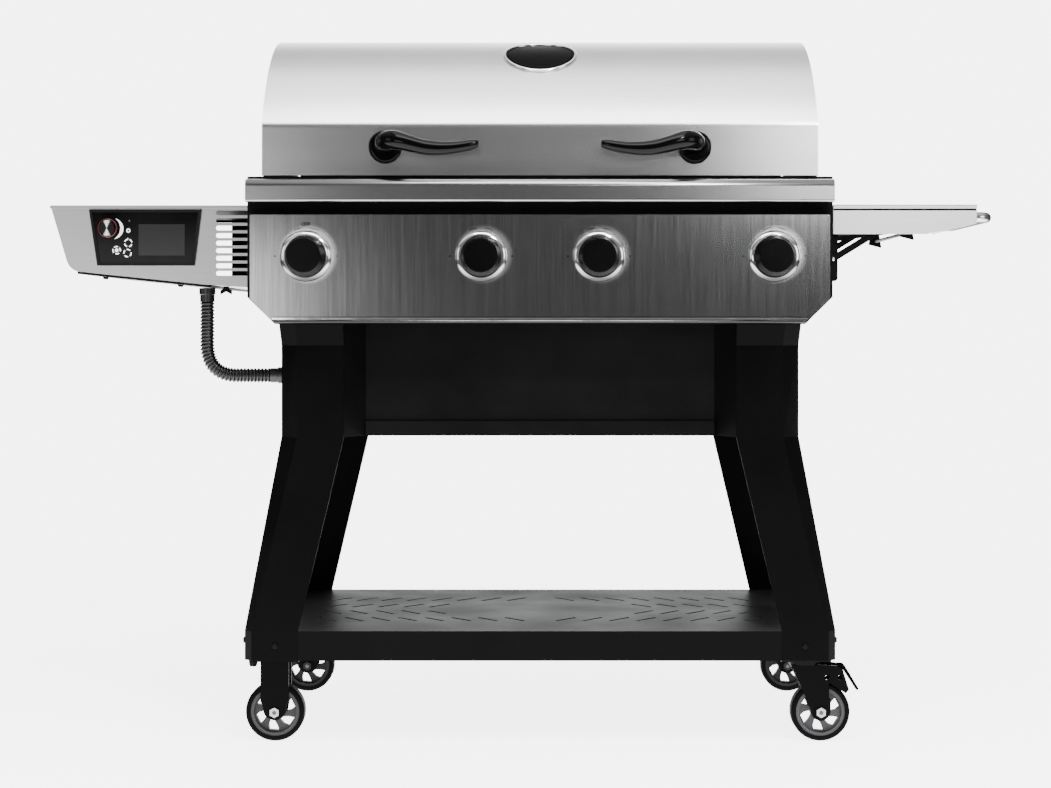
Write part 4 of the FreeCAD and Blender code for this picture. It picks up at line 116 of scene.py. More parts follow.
class Surface:
    """A node material with short ways to add texture."""

    def __init__(self, name, colour, roughness, metallic=0.0, specular=0.5):
        self.material = bpy.data.materials.new(name)
        self.material.use_nodes = True
        self.tree = self.material.node_tree
        self.shader = self.tree.nodes["Principled BSDF"]
        self.shader.inputs["Base Color"].default_value = (*colour, 1)
        self.shader.inputs["Roughness"].default_value = roughness
        self.shader.inputs["Metallic"].default_value = metallic
        self.shader.inputs["Specular IOR Level"].default_value = specular

    def node(self, kind, **values):
        item = self.tree.nodes.new(kind)
        for name, value in values.items():
            setattr(item, name, value)
        return item

    def link(self, start, end):
        self.tree.links.new(start, end)

    def noise(self, scale, stretch=(1, 1, 1), detail=3.0, rough=0.55):
        """Noise over the frame's metres, drawn out along the axes with a small stretch value."""
        place = self.node("ShaderNodeTexCoord")
        mapping = self.node("ShaderNodeMapping")
        mapping.inputs["Scale"].default_value = stretch
        texture = self.node("ShaderNodeTexNoise")
        texture.inputs["Scale"].default_value = scale
        texture.inputs["Detail"].default_value = detail
        texture.inputs["Roughness"].default_value = rough
        self.link(place.outputs["Object"], mapping.inputs["Vector"])
        self.link(mapping.outputs["Vector"], texture.inputs["Vector"])
        return texture.outputs["Fac"]

    def span(self, value, low, high, to_low, to_high):
        """Maps a value from one range to another."""
        return map_range(self.tree, value, low, high, to_low, to_high)

    def math(self, operation, first, second):
        """Works on two values, each of them a number or another node's output."""
        item = self.node("ShaderNodeMath", operation=operation)
        for socket, value in zip(item.inputs, (first, second)):
            if isinstance(value, (int, float)):
                socket.default_value = value
            else:
                self.link(value, socket)
        return item.outputs["Value"]

    def blend(self, first, share, second):
        """Mixes two values: the first by its share, the second by the rest."""
        first_part = self.math("MULTIPLY", first, share)
        second_part = self.math("MULTIPLY", second, 1 - share)
        return self.math("ADD", first_part, second_part)

    def away(self, centre):
        """The way from a centre to a point of the surface."""
        place = self.node("ShaderNodeTexCoord")
        step = self.node("ShaderNodeVectorMath", operation="SUBTRACT")
        step.inputs[1].default_value = centre
        self.link(place.outputs["Object"], step.inputs[0])
        return step.outputs["Vector"]

    def split(self, vector):
        """The X, Y and Z of a vector."""
        parts = self.node("ShaderNodeSeparateXYZ")
        self.link(vector, parts.inputs["Vector"])
        return parts.outputs

    def distance(self, centre, keep):
        """How far a point is from a centre, counted along the kept axes only."""
        flat = self.node("ShaderNodeVectorMath", operation="MULTIPLY")
        flat.inputs[1].default_value = keep
        length = self.node("ShaderNodeVectorMath", operation="LENGTH")
        self.link(self.away(centre), flat.inputs[0])
        self.link(flat.outputs["Vector"], length.inputs[0])
        return length.outputs["Value"]

    def tint(self, value, dark, light):
        """Colours the surface between two colours by a value."""
        ramp = self.node("ShaderNodeValToRGB")
        ramp.color_ramp.elements[0].color = (*dark, 1)
        ramp.color_ramp.elements[1].color = (*light, 1)
        ramp.color_ramp.elements[0].position = NOISE_LOW
        ramp.color_ramp.elements[1].position = NOISE_HIGH
        self.link(value, ramp.inputs["Fac"])
        self.link(ramp.outputs["Color"], self.shader.inputs["Base Color"])
        return ramp.outputs["Color"]

    def lighten(self, colour, value, light):
        """Mixes the base colour towards a light one where a value is high."""
        mix = self.node("ShaderNodeMix", data_type="RGBA")
        for socket in mix.inputs:
            if socket.identifier == "Factor_Float":
                self.link(value, socket)
            if socket.identifier == "A_Color":
                self.link(colour, socket)
            if socket.identifier == "B_Color":
                socket.default_value = (*light, 1)
        for socket in mix.outputs:
            if socket.identifier == "Result_Color":
                self.link(socket, self.shader.inputs["Base Color"])

    def gloss(self, value, low, high):
        """Varies the roughness between two levels by a value."""
        roughness = self.span(value, NOISE_LOW, NOISE_HIGH, low, high)
        self.link(roughness, self.shader.inputs["Roughness"])

    def glow(self, colour, strength):
        """Gives the surface a light of its own."""
        self.shader.inputs["Emission Color"].default_value = (*colour, 1)
        self.shader.inputs["Emission Strength"].default_value = strength

    def fade(self, value, low, high):
        """Lets the surface vanish softly where a value rises from low to high."""
        clear = self.node("ShaderNodeBsdfTransparent")
        mix = self.node("ShaderNodeMixShader")
        share = map_range(self.tree, value, low, high, 0.0, 1.0, smooth=True)
        self.link(share, mix.inputs["Fac"])
        self.link(self.shader.outputs["BSDF"], mix.inputs[1])
        self.link(clear.outputs["BSDF"], mix.inputs[2])
        self.link(mix.outputs["Shader"], self.tree.nodes["Material Output"].inputs["Surface"])

    def draw_out(self, amount, turn):
        """Draws highlights out across a brushed grain: along X, or upright after a quarter turn."""
        along = self.node("ShaderNodeCombineXYZ")
        for socket, value in zip(along.inputs, NEARLY_X):
            socket.default_value = value
        self.link(along.outputs["Vector"], self.shader.inputs["Tangent"])
        self.shader.inputs["Anisotropic"].default_value = amount
        self.shader.inputs["Anisotropic Rotation"].default_value = turn

    def bump(self, value, strength, distance):
        item = self.node("ShaderNodeBump")
        item.inputs["Strength"].default_value = strength
        item.inputs["Distance"].default_value = distance
        self.link(value, item.inputs["Height"])
        self.link(item.outputs["Normal"], self.shader.inputs["Normal"])


def grey(shade):
    return (shade, shade, shade)


def brushed(name, shade, grain, rough, contrast=0.12, sheen=0.6, fineness=900):
    """Stainless sheet with a grain along one axis, between two levels of roughness."""
    streak_scale = 120
    line_share = 0.6
    cloud_share = 0.4
    bump_strength = 0.05
    bump_depth = 0.00002
    rough_low, rough_high = rough
    surface = Surface(name, grey(shade), rough_low, metallic=1.0)
    lines = surface.noise(fineness, grain, detail=4.0, rough=0.7)
    streaks = surface.noise(streak_scale, grain, detail=3.0, rough=0.6)
    cloud = surface.noise(CLOUD_SCALE, detail=2.0)
    both = surface.blend(lines, line_share, streaks)
    surface.colour = surface.tint(both, grey(shade * (1 - contrast)), grey(shade * (1 + contrast)))
    surface.gloss(surface.blend(cloud, cloud_share, both), rough_low, rough_high)
    surface.bump(lines, bump_strength, bump_depth)
    surface.draw_out(sheen, QUARTER_TURN if grain == GRAIN_X else 0.0)
    return surface


def panel_sheet():
    """The control panel's upright grain, with a painted highlight: a paler gleam beside each polished
    bezel.
    """
    gleam_right = 5
    gleam_up = 3
    gleam_inner = 0.041
    gleam_outer = 0.051
    gleam_strength = 0.95
    gleam_falloff = 1.6
    gleam_shade = 0.98
    surface = brushed(
        "panel_steel", shade=0.22, grain=GRAIN_UP, rough=(0.16, 0.18),
        contrast=0.3, sheen=0.35, fineness=300,
    )
    # Painted highlight: the base colour lightens in a ring to the upper right of each bezel
    painted_gleam = None
    for x in KNOB_PLACES:
        centre = at(x + gleam_right, PANEL_FRONT, KNOB_Z + gleam_up)
        away = surface.distance(centre, keep=(1, 0, 1))
        glow = surface.span(away, gleam_inner, gleam_outer, gleam_strength, 0.0)
        painted_gleam = glow if painted_gleam is None else surface.math("MAXIMUM", painted_gleam, glow)
    painted_gleam = surface.math("POWER", painted_gleam, gleam_falloff)
    surface.lighten(surface.colour, painted_gleam, grey(gleam_shade))
    return surface


def bezel_ring():
    """Polished rings with a painted reflection: dark below the knobs' middle height and bright above
    it.
    """
    painted_dark_height = -0.038
    painted_bright_height = 0.010
    surface = Surface("bezel_chrome", grey(0.9), roughness=0.09, metallic=1.0)
    # Painted reflection: the colour runs from dark to bright with height about the knobs' middle
    height = surface.split(surface.away((0, 0, KNOB_Z / 1000)))["Z"]
    rise = surface.span(height, painted_dark_height, painted_bright_height, NOISE_LOW, NOISE_HIGH)
    surface.tint(rise, dark=grey(0.05), light=grey(0.95))
    surface.gloss(surface.noise(SMEAR_SCALE), low=0.07, high=0.14)
    return surface


def coated(name, shade, rough, grain=700, peel=0.06, specular=0.22):
    """Powder-coated or moulded black with a fine orange-peel grain."""
    peel_depth = 0.0005
    rough_low = rough - 0.05
    rough_high = rough + 0.07
    dark = (shade * 0.75, shade * 0.75, shade * 0.78)
    light = (shade * 1.3, shade * 1.3, shade * 1.35)
    surface = Surface(name, grey(shade), rough, specular=specular)
    cloud = surface.noise(CLOUD_SCALE)
    surface.tint(cloud, dark, light)
    surface.gloss(cloud, rough_low, rough_high)
    surface.bump(surface.noise(grain, detail=2.0), peel, peel_depth)
    return surface


def polished(name, shade, rough):
    """Bright metal with faint smears."""
    smeared_shade = shade * 0.95
    smeared_rough = rough + 0.07
    surface = Surface(name, grey(shade), rough, metallic=1.0)
    smear = surface.noise(SMEAR_SCALE)
    surface.gloss(smear, rough, smeared_rough)
    surface.tint(smear, grey(smeared_shade), grey(shade))
    return surface


def rimmed(name, shade, rim, rough):
    """Polished round stock with a painted dark reflection along its edges."""
    surface = polished(name, shade, rough)
    # A dark edge tint: painted reflection along the edges
    surface.shader.inputs["Specular Tint"].default_value = (*grey(rim), 1)
    return surface


def lit(name, colour, strength):
    """A printed mark with a little light behind it."""
    cloud_scale = 60
    darker = tuple(value * 0.92 for value in colour)
    surface = Surface(name, colour, roughness=0.4)
    surface.glow(colour, strength)
    surface.tint(surface.noise(cloud_scale), darker, colour)
    return surface


def dial_cap(centre):
    """A turned metal cap with two painted highlights: bright wedges, up and down from its middle."""
    wedge_count = 2
    wedge_middle = -1
    wedge_edge = -0.45
    grain_scale = 400
    # A little beyond the noise range at both ends, so that each wedge has a flat middle
    bright = 0.75
    dim = 0.25
    surface = Surface("dial_cap", grey(0.5), roughness=0.22, metallic=1.0)
    parts = surface.split(surface.away(centre))
    # Painted highlight: two bright wedges drawn from the angle round the cap's centre
    angle = surface.math("ARCTAN2", parts["Z"], parts["X"])
    wave = surface.math("COSINE", surface.math("MULTIPLY", angle, wedge_count), 0)
    painted_wedges = surface.span(wave, wedge_middle, wedge_edge, bright, dim)
    surface.tint(painted_wedges, dark=grey(0.01), light=grey(0.6))
    surface.gloss(surface.noise(grain_scale), low=0.18, high=0.3)
    return surface


# One brushed stainless in several shades, one for each part: the differences in shade are painted
# light and shade, set for how much light each part catches.
hood_steel = brushed("hood_steel", shade=0.62, grain=GRAIN_X, rough=(0.26, 0.31), contrast=0.05)
band_steel = brushed("band_steel", shade=0.45, grain=GRAIN_X, rough=(0.22, 0.25), contrast=0.05)
rail_steel = brushed(
    "rail_steel", shade=0.28, grain=GRAIN_X, rough=(0.20, 0.23), contrast=0.05, sheen=0.25
)
panel_steel = panel_sheet()
left_shelf_steel = brushed(
    "left_shelf_steel", shade=0.28, grain=GRAIN_X, rough=(0.26, 0.32), contrast=0.06
)
right_shelf_steel = brushed(
    "right_shelf_steel", shade=0.46, grain=GRAIN_X, rough=(0.28, 0.34), contrast=0.05
)
hem_painted_shade = brushed("hem_painted_shade", shade=0.035, grain=GRAIN_X, rough=(0.3, 0.4))
bar_steel = rimmed("bar_steel", shade=0.6, rim=0.08, rough=0.14)
chrome = polished("badge_chrome", shade=0.95, rough=0.07)
bezel_chrome = bezel_ring()
zinc = polished("pivot_zinc", shade=0.75, rough=0.22)
bolt_zinc = polished("bolt_zinc", shade=0.28, rough=0.22)
bolt_shade = polished("bolt_shade", shade=0.05, rough=0.22)
bolt_painted_shade = polished("bolt_painted_shade", shade=0.012, rough=0.22)
black_coat = coated("black_coat", shade=0.002, rough=0.42, specular=0.05)
leg_coat = coated("leg_coat", shade=0.0011, rough=0.42, specular=0.025)
shelf_top_sheen = coated("bottom_shelf_coat", shade=0.016, rough=0.42, specular=0.004)
lip_coat = coated("lip_coat", shade=0.0015, rough=0.45, specular=0.03)
# The firebox's black, also used as painted shade inside the left shelf
inner_black_and_shade = coated("inner_black_and_shade", shade=0.003, rough=0.55, specular=0.03)
pedal_coat = coated("pedal_coat", shade=0.002, rough=0.6, specular=0.0)
knob_black = coated("knob_black", shade=0.0015, rough=0.26, grain=900, peel=0.03, specular=0.05)
handle_black = coated(
    "handle_black", shade=0.001, rough=0.1, grain=300, peel=0.003, specular=0.11
)
plastic_black = coated(
    "plastic_black", shade=0.003, rough=0.36, grain=1200, peel=0.05, specular=0.1
)
hose_black = coated("hose_black", shade=0.004, rough=0.28, grain=900, peel=0.03, specular=0.4)
gasket_black = coated("gasket_black", shade=0.002, rough=0.8, grain=900, peel=0.2, specular=0.02)
tyre_black = coated("tyre_black", shade=0.0012, rough=0.6, grain=500, peel=0.1, specular=0.03)
rim_grey = coated("rim_grey", shade=0.035, rough=0.42, grain=600, peel=0.06, specular=0.1)
rim_painted_shade = coated("rim_painted_shade", shade=0.008, rough=0.45, grain=600, peel=0.06, specular=0.1)
iron = coated("grate_iron", shade=0.03, rough=0.55, grain=260, peel=0.3)
plated = polished("plated_steel", shade=0.5, rough=0.3)
motor_grey = coated("motor_grey", shade=0.2, rough=0.4)
glass_black = coated("glass_black", shade=0.001, rough=0.08, grain=60, peel=0.005, specular=0.06)
display_dark = coated("display_dark", shade=0.006, rough=0.14, grain=60, peel=0.005, specular=0.14)
# Dark print, also used for strips of painted shade
print_and_shade_dark = coated("print_and_shade_dark", shade=0.002, rough=0.6, specular=0.02)
mark_white = lit("mark_white", colour=(0.9, 0.9, 0.92), strength=0.35)
mark_dim = lit("mark_dim", colour=(0.04, 0.04, 0.045), strength=0.02)
edge_painted_shade = coated("edge_painted_shade", shade=0.05, rough=0.5, specular=0.05)
dial_red = lit("dial_red", colour=(0.1, 0.003, 0.008), strength=0.01)
dial_metal = dial_cap(at(DIAL_X, GLASS_FRONT, DIAL_Z))
badge_black = coated("badge_black", shade=0.003, rough=0.35, grain=500, peel=0.05, specular=0.015)


# Nodes that aren't named here have the plain black coat
NODE_SURFACES = {
    "hood_skin": hood_steel,
    "hood_ends": hood_steel,
    "front_rail": rail_steel,
    "control_panel": panel_steel,
    "left_shelf": left_shelf_steel,
    "right_shelf": right_shelf_steel,
    "shelf_bar": bar_steel,
    "knob_bezels": bezel_chrome,
    "left_handle": handle_black,
    "right_handle": handle_black,
    "left_mode_knob": knob_black,
    "left_heat_knob": knob_black,
    "right_heat_knob": knob_black,
    "right_mode_knob": knob_black,
    "controller_bezel": plastic_black,
    "controller_face": glass_black,
    "controller_screen": display_dark,
    "power_button": plastic_black,
    "front_right_pedal": pedal_coat,
    "rear_right_pedal": pedal_coat,
    "conduit_hose": hose_black,
    "conduit_glands": hose_black,
    "power_inlet": plastic_black,
    "blowers": plastic_black,
    "front_legs": leg_coat,
    "rear_legs": leg_coat,
    "firebox": inner_black_and_shade,
    "cooking_grates": iron,
    "feed_motors": motor_grey,
    "hood_hinge_brackets": plated,
    "hood_hinge_leaves": plated,
    "feed_tubes": plated,
    "fire_pots": plated,
    "left_auger": plated,
    "right_auger": plated,
    "grease_cup": plated,
    "temperature_probe": plated,
    "heat_deflectors": plated,
    "drip_tray": plated,
}


def paint_nodes():
    """Gives each CAD node its material."""
    for name, item in nodes.items():
        surface = NODE_SURFACES.get(name, black_coat)
        item.data.materials.clear()
        item.data.materials.append(surface.material)


def paint_by(name, choose, surfaces):
    """Gives the faces of a CAD node one of several materials by where they are."""
    item = nodes[name]
    item.data.materials.clear()
    for surface in surfaces:
        item.data.materials.append(surface.material)
    for face in item.data.polygons:
        face.material_index = choose(face)


def paint_wheels():
    """Black tyres, grey rims in front, and a darker copy of the rim grey as painted shade on the rear
    rims and the spokes' sides.
    """
    tyre_inner = 0.0412
    ring_inner = 0.0355
    for name in ("front_left_wheel", "rear_left_wheel", "front_right_wheel", "rear_right_wheel"):
        low, high = (Vector(corner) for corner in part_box(name))
        middle = (low + high) / 2

        def choose(face):
            away = math.hypot(face.center.x - middle.x, face.center.z - middle.z)
            if away > tyre_inner:
                return 0
            return 1 if away > ring_inner or abs(face.normal.y) > SQUARE_ON else 2

        # The rear rims take the darker copy of the rim grey: painted shade
        ring = rim_grey if middle.y < BODY_Y else rim_painted_shade
        paint_by(name, choose, [tyre_black, ring, rim_painted_shade])


def paint_axles():
    """Hexagon bolts in the black forks: zinc on the front casters, and a near-black copy as painted
    shade on the rear ones.
    """
    bolt_radius = 0.009
    cheek_face = 0.0195
    for name in ("rigid_caster_forks", "front_right_fork", "rear_right_fork"):
        def choose(face):
            height = abs(face.center.z - AXLE_Z / 1000)
            from_wheel = abs(abs(face.center.y - BODY_Y) - CASTER_Y / 1000)
            if height > bolt_radius or from_wheel < cheek_face:
                return 0
            # Rear bolts take the near-black copy: painted shade
            return 1 if face.center.y < BODY_Y else 2

        paint_by(name, choose, [leg_coat, bolt_zinc, bolt_painted_shade])


def paint_hood():
    """The upright band under the fold gets a darker copy of the roof's steel: painted shade."""
    upright = 0.97

    def choose(face):
        return 1 if face.normal.y < -upright else 0

    paint_by("hood_skin", choose, [hood_steel, band_steel])


def paint_bottom_shelf():
    """The upper face gets a lighter grey as a painted sheen; the folded edges stay black."""
    def choose(face):
        return 0 if face.normal.z > SQUARE_ON else 1

    paint_by("bottom_shelf", choose, [shelf_top_sheen, lip_coat])


def paint_panel():
    """The rolled hem under the panel gets a near-black copy of the panel's steel: painted shade."""
    hem_height = 0.0035
    hem_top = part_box("control_panel")[0][2] + hem_height

    def choose(face):
        return 1 if face.center.z < hem_top else 0

    paint_by("control_panel", choose, [panel_steel, hem_painted_shade])


def paint_dial():
    """A black skirt with a turned metal cap."""
    cap_depth = 0.0075
    cap_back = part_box("controller_dial")[0][1] + cap_depth

    def choose(face):
        return 1 if face.center.y < cap_back else 0

    paint_by("controller_dial", choose, [plastic_black, dial_metal])


def paint_left_shelf():
    """Brushed steel outside, and painted shade inside the housing."""
    low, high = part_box("left_shelf")
    middle_y = (low[1] + high[1]) / 2
    middle_z = (low[2] + high[2]) / 2
    wall = 0.004
    leaning = 0.5

    def choose(face):
        inside = low[1] + wall < face.center.y < high[1] - wall
        down_in = face.normal.z < -leaning and face.center.z > middle_z
        up_in = face.normal.z > leaning and face.center.z < middle_z
        along_in = face.normal.x > leaning
        back_in = face.normal.y > SQUARE_ON and face.center.y < middle_y
        front_in = face.normal.y < -SQUARE_ON and face.center.y > middle_y
        if inside and (down_in or up_in or along_in):
            return 1
        return 1 if back_in or front_in else 0

    paint_by("left_shelf", choose, [left_shelf_steel, inner_black_and_shade])


def soften(name):
    """Rounds the sharp edges of a CAD node a little, as folded sheet is."""
    item = nodes[name]
    weld = item.modifiers.new("weld", "WELD")
    weld.merge_threshold = 0.00001
    bevel = item.modifiers.new("edge", "BEVEL")
    bevel.width = 0.0008
    bevel.segments = 2
    bevel.limit_method = "ANGLE"
    bevel.angle_limit = math.radians(35)
    bevel.harden_normals = True


# Mesh helpers

def mesh_piece(name, build, surface, body, smooth=True):
    """Makes one piece from a mesh-building function and puts it on a body."""
    mesh = bpy.data.meshes.new(name)
    work = bmesh.new()
    build(work)
    bmesh.ops.recalc_face_normals(work, faces=work.faces)
    work.to_mesh(mesh)
    work.free()
    if smooth:
        mesh.shade_smooth()
    mesh.materials.append(surface.material)
    item = bpy.data.objects.new(name, mesh)
    bpy.context.collection.objects.link(item)
    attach(item, body)
    return item


def loft(work, rings, loop=False):
    """Joins closed rings of points with faces, and caps both ends unless they meet in a loop."""
    rows = [[work.verts.new(point) for point in ring] for ring in rings]
    count = len(rows[0])
    pairs = list(zip(rows, rows[1:]))
    if loop:
        pairs.append((rows[-1], rows[0]))
    for first, second in pairs:
        for index in range(count):
            after = (index + 1) % count
            work.faces.new((first[index], first[after], second[after], second[index]))
    if not loop:
        work.faces.new(rows[0])
        work.faces.new(rows[-1])


def circle(centre, side, other, radius, segments):
    """Points round a centre in the plane of two directions."""
    points = []
    for number in range(segments):
        angle = 2 * math.pi * number / segments
        points.append(centre + (side * math.cos(angle) + other * math.sin(angle)) * radius)
    return points


def lathe(work, profile, centre, axis, segments=40, loop=False):
    """Turns a profile of (radius, height) pairs in metres about an axis through a centre."""
    axis = Vector(axis).normalized()
    side = axis.orthogonal().normalized()
    other = axis.cross(side)
    rings = []
    for radius, height in profile:
        rings.append(circle(centre + axis * height, side, other, radius, segments))
    loft(work, rings, loop=loop)


def clock(x, z, radius, angle, y):
    """A point round a centre on a front face, by degrees clockwise from the top."""
    turn = math.radians(angle)
    return at(x + radius * math.sin(turn), y, z + radius * math.cos(turn))


def arc_band(work, x, z, inner, outer, y, start=0, end=FULL_TURN, swell=0.0):
    """A flat band round a centre on a front face; swell widens its middle."""
    degrees_per_step = 5
    steps = max(4, int(abs(end - start) / degrees_per_step))
    rows = []
    for step in range(steps + 1):
        share = step / steps
        angle = start + (end - start) * share
        wide = outer + swell * math.sin(math.pi * share)
        rows.append((
            work.verts.new(clock(x, z, inner, angle, y)),
            work.verts.new(clock(x, z, wide, angle, y)),
        ))
    for first, second in zip(rows, rows[1:]):
        work.faces.new((first[0], first[1], second[1], second[0]))


def flat_strip(work, low, high):
    """An upright rectangle that faces the front, between two opposite corners."""
    left, y, bottom = low
    right, _, top = high
    corners = ((left, bottom), (right, bottom), (right, top), (left, top))
    work.faces.new([work.verts.new((x, y, z)) for x, z in corners])


def label(words, name, place, height, surface, body):
    """Flat lettering that faces the front."""
    text = bpy.data.curves.new(name, "FONT")
    text.body = words
    text.align_x = "CENTER"
    text.size = height
    text.offset = height * 0.035
    holder = bpy.data.objects.new(name + "_text", text)
    mesh = bpy.data.meshes.new_from_object(holder)
    bpy.data.objects.remove(holder)
    mesh.transform(Matrix.Translation(place) @ Matrix.Rotation(math.radians(90), 4, "X"))
    mesh.materials.clear()
    mesh.materials.append(surface.material)
    item = bpy.data.objects.new(name, mesh)
    bpy.context.collection.objects.link(item)
    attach(item, body)


def screw_head(name, place, axis, radius, height, surface=black_coat):
    """A pan head with a rounded edge and a hexagon that just stands out of its middle."""
    hexagon = radius * 0.45
    head = [
        (radius, 0.0),
        (radius, height * 0.35),
        (radius * 0.92, height * 0.75),
        (radius * 0.7, height),
        (hexagon * 1.1, height),
    ]
    plug = [(hexagon, height * 1.02), (hexagon * 0.9, height * 0.5)]

    def build(work):
        lathe(work, head, place, axis, segments=24)
        lathe(work, plug, place, axis, segments=6)

    mesh_piece(name, build, surface, "frame", smooth=False)


# Conduit

def conduit():
    """The corrugated wiring conduit from the left shelf down to the cabinet."""
    route = [
        at(-573.5, -200, 746.3),
        at(-573.5, -200, 730),
        at(-573.5, -200, 620),
        at(-470, -200, 620),
        at(-464, -200, 620),
    ]
    curve = bpy.data.curves.new("conduit_route", "CURVE")
    curve.dimensions = "3D"
    curve.resolution_u = 40
    spline = curve.splines.new("NURBS")
    spline.points.add(len(route) - 1)
    for point, place in zip(spline.points, route):
        point.co = (*place, 1)
    spline.order_u = 3
    spline.use_endpoint_u = True
    holder = bpy.data.objects.new("conduit_route", curve)
    line = bpy.data.meshes.new_from_object(holder)
    path = [vertex.co.copy() for vertex in line.vertices]
    bpy.data.objects.remove(holder)
    lengths = [0.0]
    for first, second in zip(path, path[1:]):
        lengths.append(lengths[-1] + (second - first).length)
    total = lengths[-1]

    def along(distance):
        """The place and the direction at a distance from the start."""
        for index in range(len(path) - 1):
            if distance <= lengths[index + 1] or index == len(path) - 2:
                run = lengths[index + 1] - lengths[index]
                share = (distance - lengths[index]) / run
                direction = (path[index + 1] - path[index]).normalized()
                return path[index].lerp(path[index + 1], share), direction

    crest = 0.0123
    valley = 0.0100
    # Above 1, the tops of the ribs are flat
    rib_fullness = 1.5
    rib_count = 36
    rings_per_rib = 8
    segments = 28
    steps = rib_count * rings_per_rib
    side = Vector((0, 1, 0))
    rings = []
    for step in range(steps + 1):
        phase = (step % rings_per_rib) / rings_per_rib
        wave = 0.5 - 0.5 * math.cos(2 * math.pi * phase)
        radius = valley + (crest - valley) * min(1.0, wave * rib_fullness)
        centre, direction = along(total * step / steps)
        rings.append(circle(centre, side, direction.cross(side), radius, segments))

    def build(work):
        loft(work, rings)

    hose = mesh_piece("wiring_conduit", build, hose_black, "frame")
    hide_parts("conduit_hose")
    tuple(path[0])


# Hood trim

ROOF_RADIUS = 0.340
ROOF_CENTRE = at(0, -2.604, 878)


def on_roof(across, angle, lift=0.0):
    """A point on the hood's roof: metres to the right of the middle, degrees forward of the top."""
    turn = math.radians(angle)
    reach = ROOF_RADIUS + lift
    return Vector((
        BODY_X + across,
        ROOF_CENTRE.y - reach * math.sin(turn),
        ROOF_CENTRE.z + reach * math.cos(turn),
    ))


def badge():
    """A plain oval plate with a raised bright rim, following the roof's curve."""
    half_width = 0.064
    half_height = 0.062
    half_angle = math.degrees(half_height / ROOF_RADIUS)
    middle_angle = 29.2
    steps = 72

    def oval(share, lift):
        """An oval at a share of the badge's size, lifted off the roof."""
        ring = []
        for number in range(steps):
            turn = 2 * math.pi * number / steps
            across = half_width * share * math.cos(turn)
            angle = middle_angle + half_angle * share * math.sin(turn)
            ring.append(on_roof(across, angle, lift))
        return ring

    def plate(work):
        shares = (0.04, 0.2, 0.4, 0.6, 0.8, 0.94)
        lifts = (0.0028, 0.0028, 0.0027, 0.0026, 0.0025, 0.0022)
        back = [oval(share, 0.0) for share in shares]
        front = [oval(share, lift) for share, lift in zip(shares, lifts)]
        loft(work, back + front[::-1])

    def rim(work):
        profile = (
            (0.93, 0.0),
            (0.93, 0.0036),
            (0.95, 0.0044),
            (0.98, 0.0042),
            (1.0, 0.003),
            (1.0, 0.0),
        )
        loft(work, [oval(share, lift) for share, lift in profile], loop=True)

    mesh_piece("hood_badge_plate", plate, badge_black, "hood")
    mesh_piece("hood_badge_rim", rim, chrome, "hood")


def hood_gasket():
    """The black rope seal that shows as a dark strip between the hood and the rail."""
    half_width = 470
    steps = 60
    # Depth and height round the strip; its last points are the upper ones and slant in at the ends
    section = ((-300.2, 948.0), (-302.6, 948.4), (-303.2, 951.0), (-302.8, 954.2), (-300.2, 955.4))
    first_upper = 3
    slant = 6

    def build(work):
        rings = []
        for step in range(steps + 1):
            x = -half_width + 2 * half_width * step / steps
            rings.append([at(x, y, z) for y, z in section])
        for ring, inward in ((rings[0], 1), (rings[-1], -1)):
            for point in ring[first_upper:]:
                point.x += inward * slant / 1000
        loft(work, rings)

    mesh_piece("hood_gasket", build, gasket_black, "frame")


def folding_shelf_painted_shade():
    """A dark strip of painted shadow under the folding shelf's top sheet, and a grey strip of painted
    shade along the sheet's upper edge.
    """
    low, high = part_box("right_shelf")
    inset = 0.001
    skirt_setback = 0.003
    left = low[0] + inset
    right = high[0] - inset
    edge_y = low[1] - PRINT_AND_SHADE_LIFT / 1000
    line_y = low[1] + skirt_setback - PRINT_AND_SHADE_LIFT / 1000
    # Name, material, depth, drop below the top, height
    strips = (
        ("folding_shelf_painted_shade", print_and_shade_dark, line_y, 0.0066, 0.0032),
        ("folding_shelf_painted_edge", edge_painted_shade, edge_y, 0.0, 0.0012),
    )
    for name, surface, y, drop, height in strips:
        def build(work, y=y, top=high[2] - drop, height=height):
            flat_strip(work, (left, y, top - height), (right, y, top))

        mesh_piece(name, build, surface, "folding_shelf", smooth=False)


# Control panel and controller marks

def panel_hem():
    """Flat strips along the control panel's folded lower edge: a painted highlight between two strips
    of painted shade.
    """
    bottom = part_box("control_panel")[0][2] * 1000
    half_length = 446
    y = PANEL_FRONT - PRINT_AND_SHADE_LIFT
    # Name, material, lower and upper edge above the panel's bottom
    painted_creases = (
        ("panel_upper_painted_shade", print_and_shade_dark, 9.6, 10.6),
        ("panel_painted_highlight", chrome, 5.8, 8.6),
        ("panel_lower_painted_shade", print_and_shade_dark, 3.0, 5.4),
    )
    for name, surface, start, end in painted_creases:
        def build(work, start=start, end=end):
            flat_strip(work, at(-half_length, y, bottom + start), at(half_length, y, bottom + end))

        mesh_piece(name, build, surface, "frame", smooth=False)


def knob_marks():
    """Printed marks at each knob, two short arcs above and a tick at each side, and one OFF."""
    print_y = PANEL_FRONT - PRINT_AND_SHADE_LIFT
    arc_start = 8
    arc_end = 24
    tick_angle = 90
    tick_half = 1
    word_rise = 50.5
    word_height = 0.0082
    for number, x in enumerate(KNOB_PLACES):
        def arcs(work, x=x):
            for start, end in ((-arc_end, -arc_start), (arc_start, arc_end)):
                arc_band(work, x, KNOB_Z, inner=46.8, outer=47.8, y=print_y, start=start, end=end)
            for angle in (-tick_angle, tick_angle):
                start = angle - tick_half
                end = angle + tick_half
                arc_band(work, x, KNOB_Z, inner=50.0, outer=53.5, y=print_y, start=start, end=end)

        mesh_piece(f"knob_marks_{number}", arcs, print_and_shade_dark, "frame", smooth=False)
    word_place = at(KNOB_PLACES[0], print_y, KNOB_Z + word_rise)
    label("OFF", "left_knob_off", word_place, word_height, print_and_shade_dark, "frame")


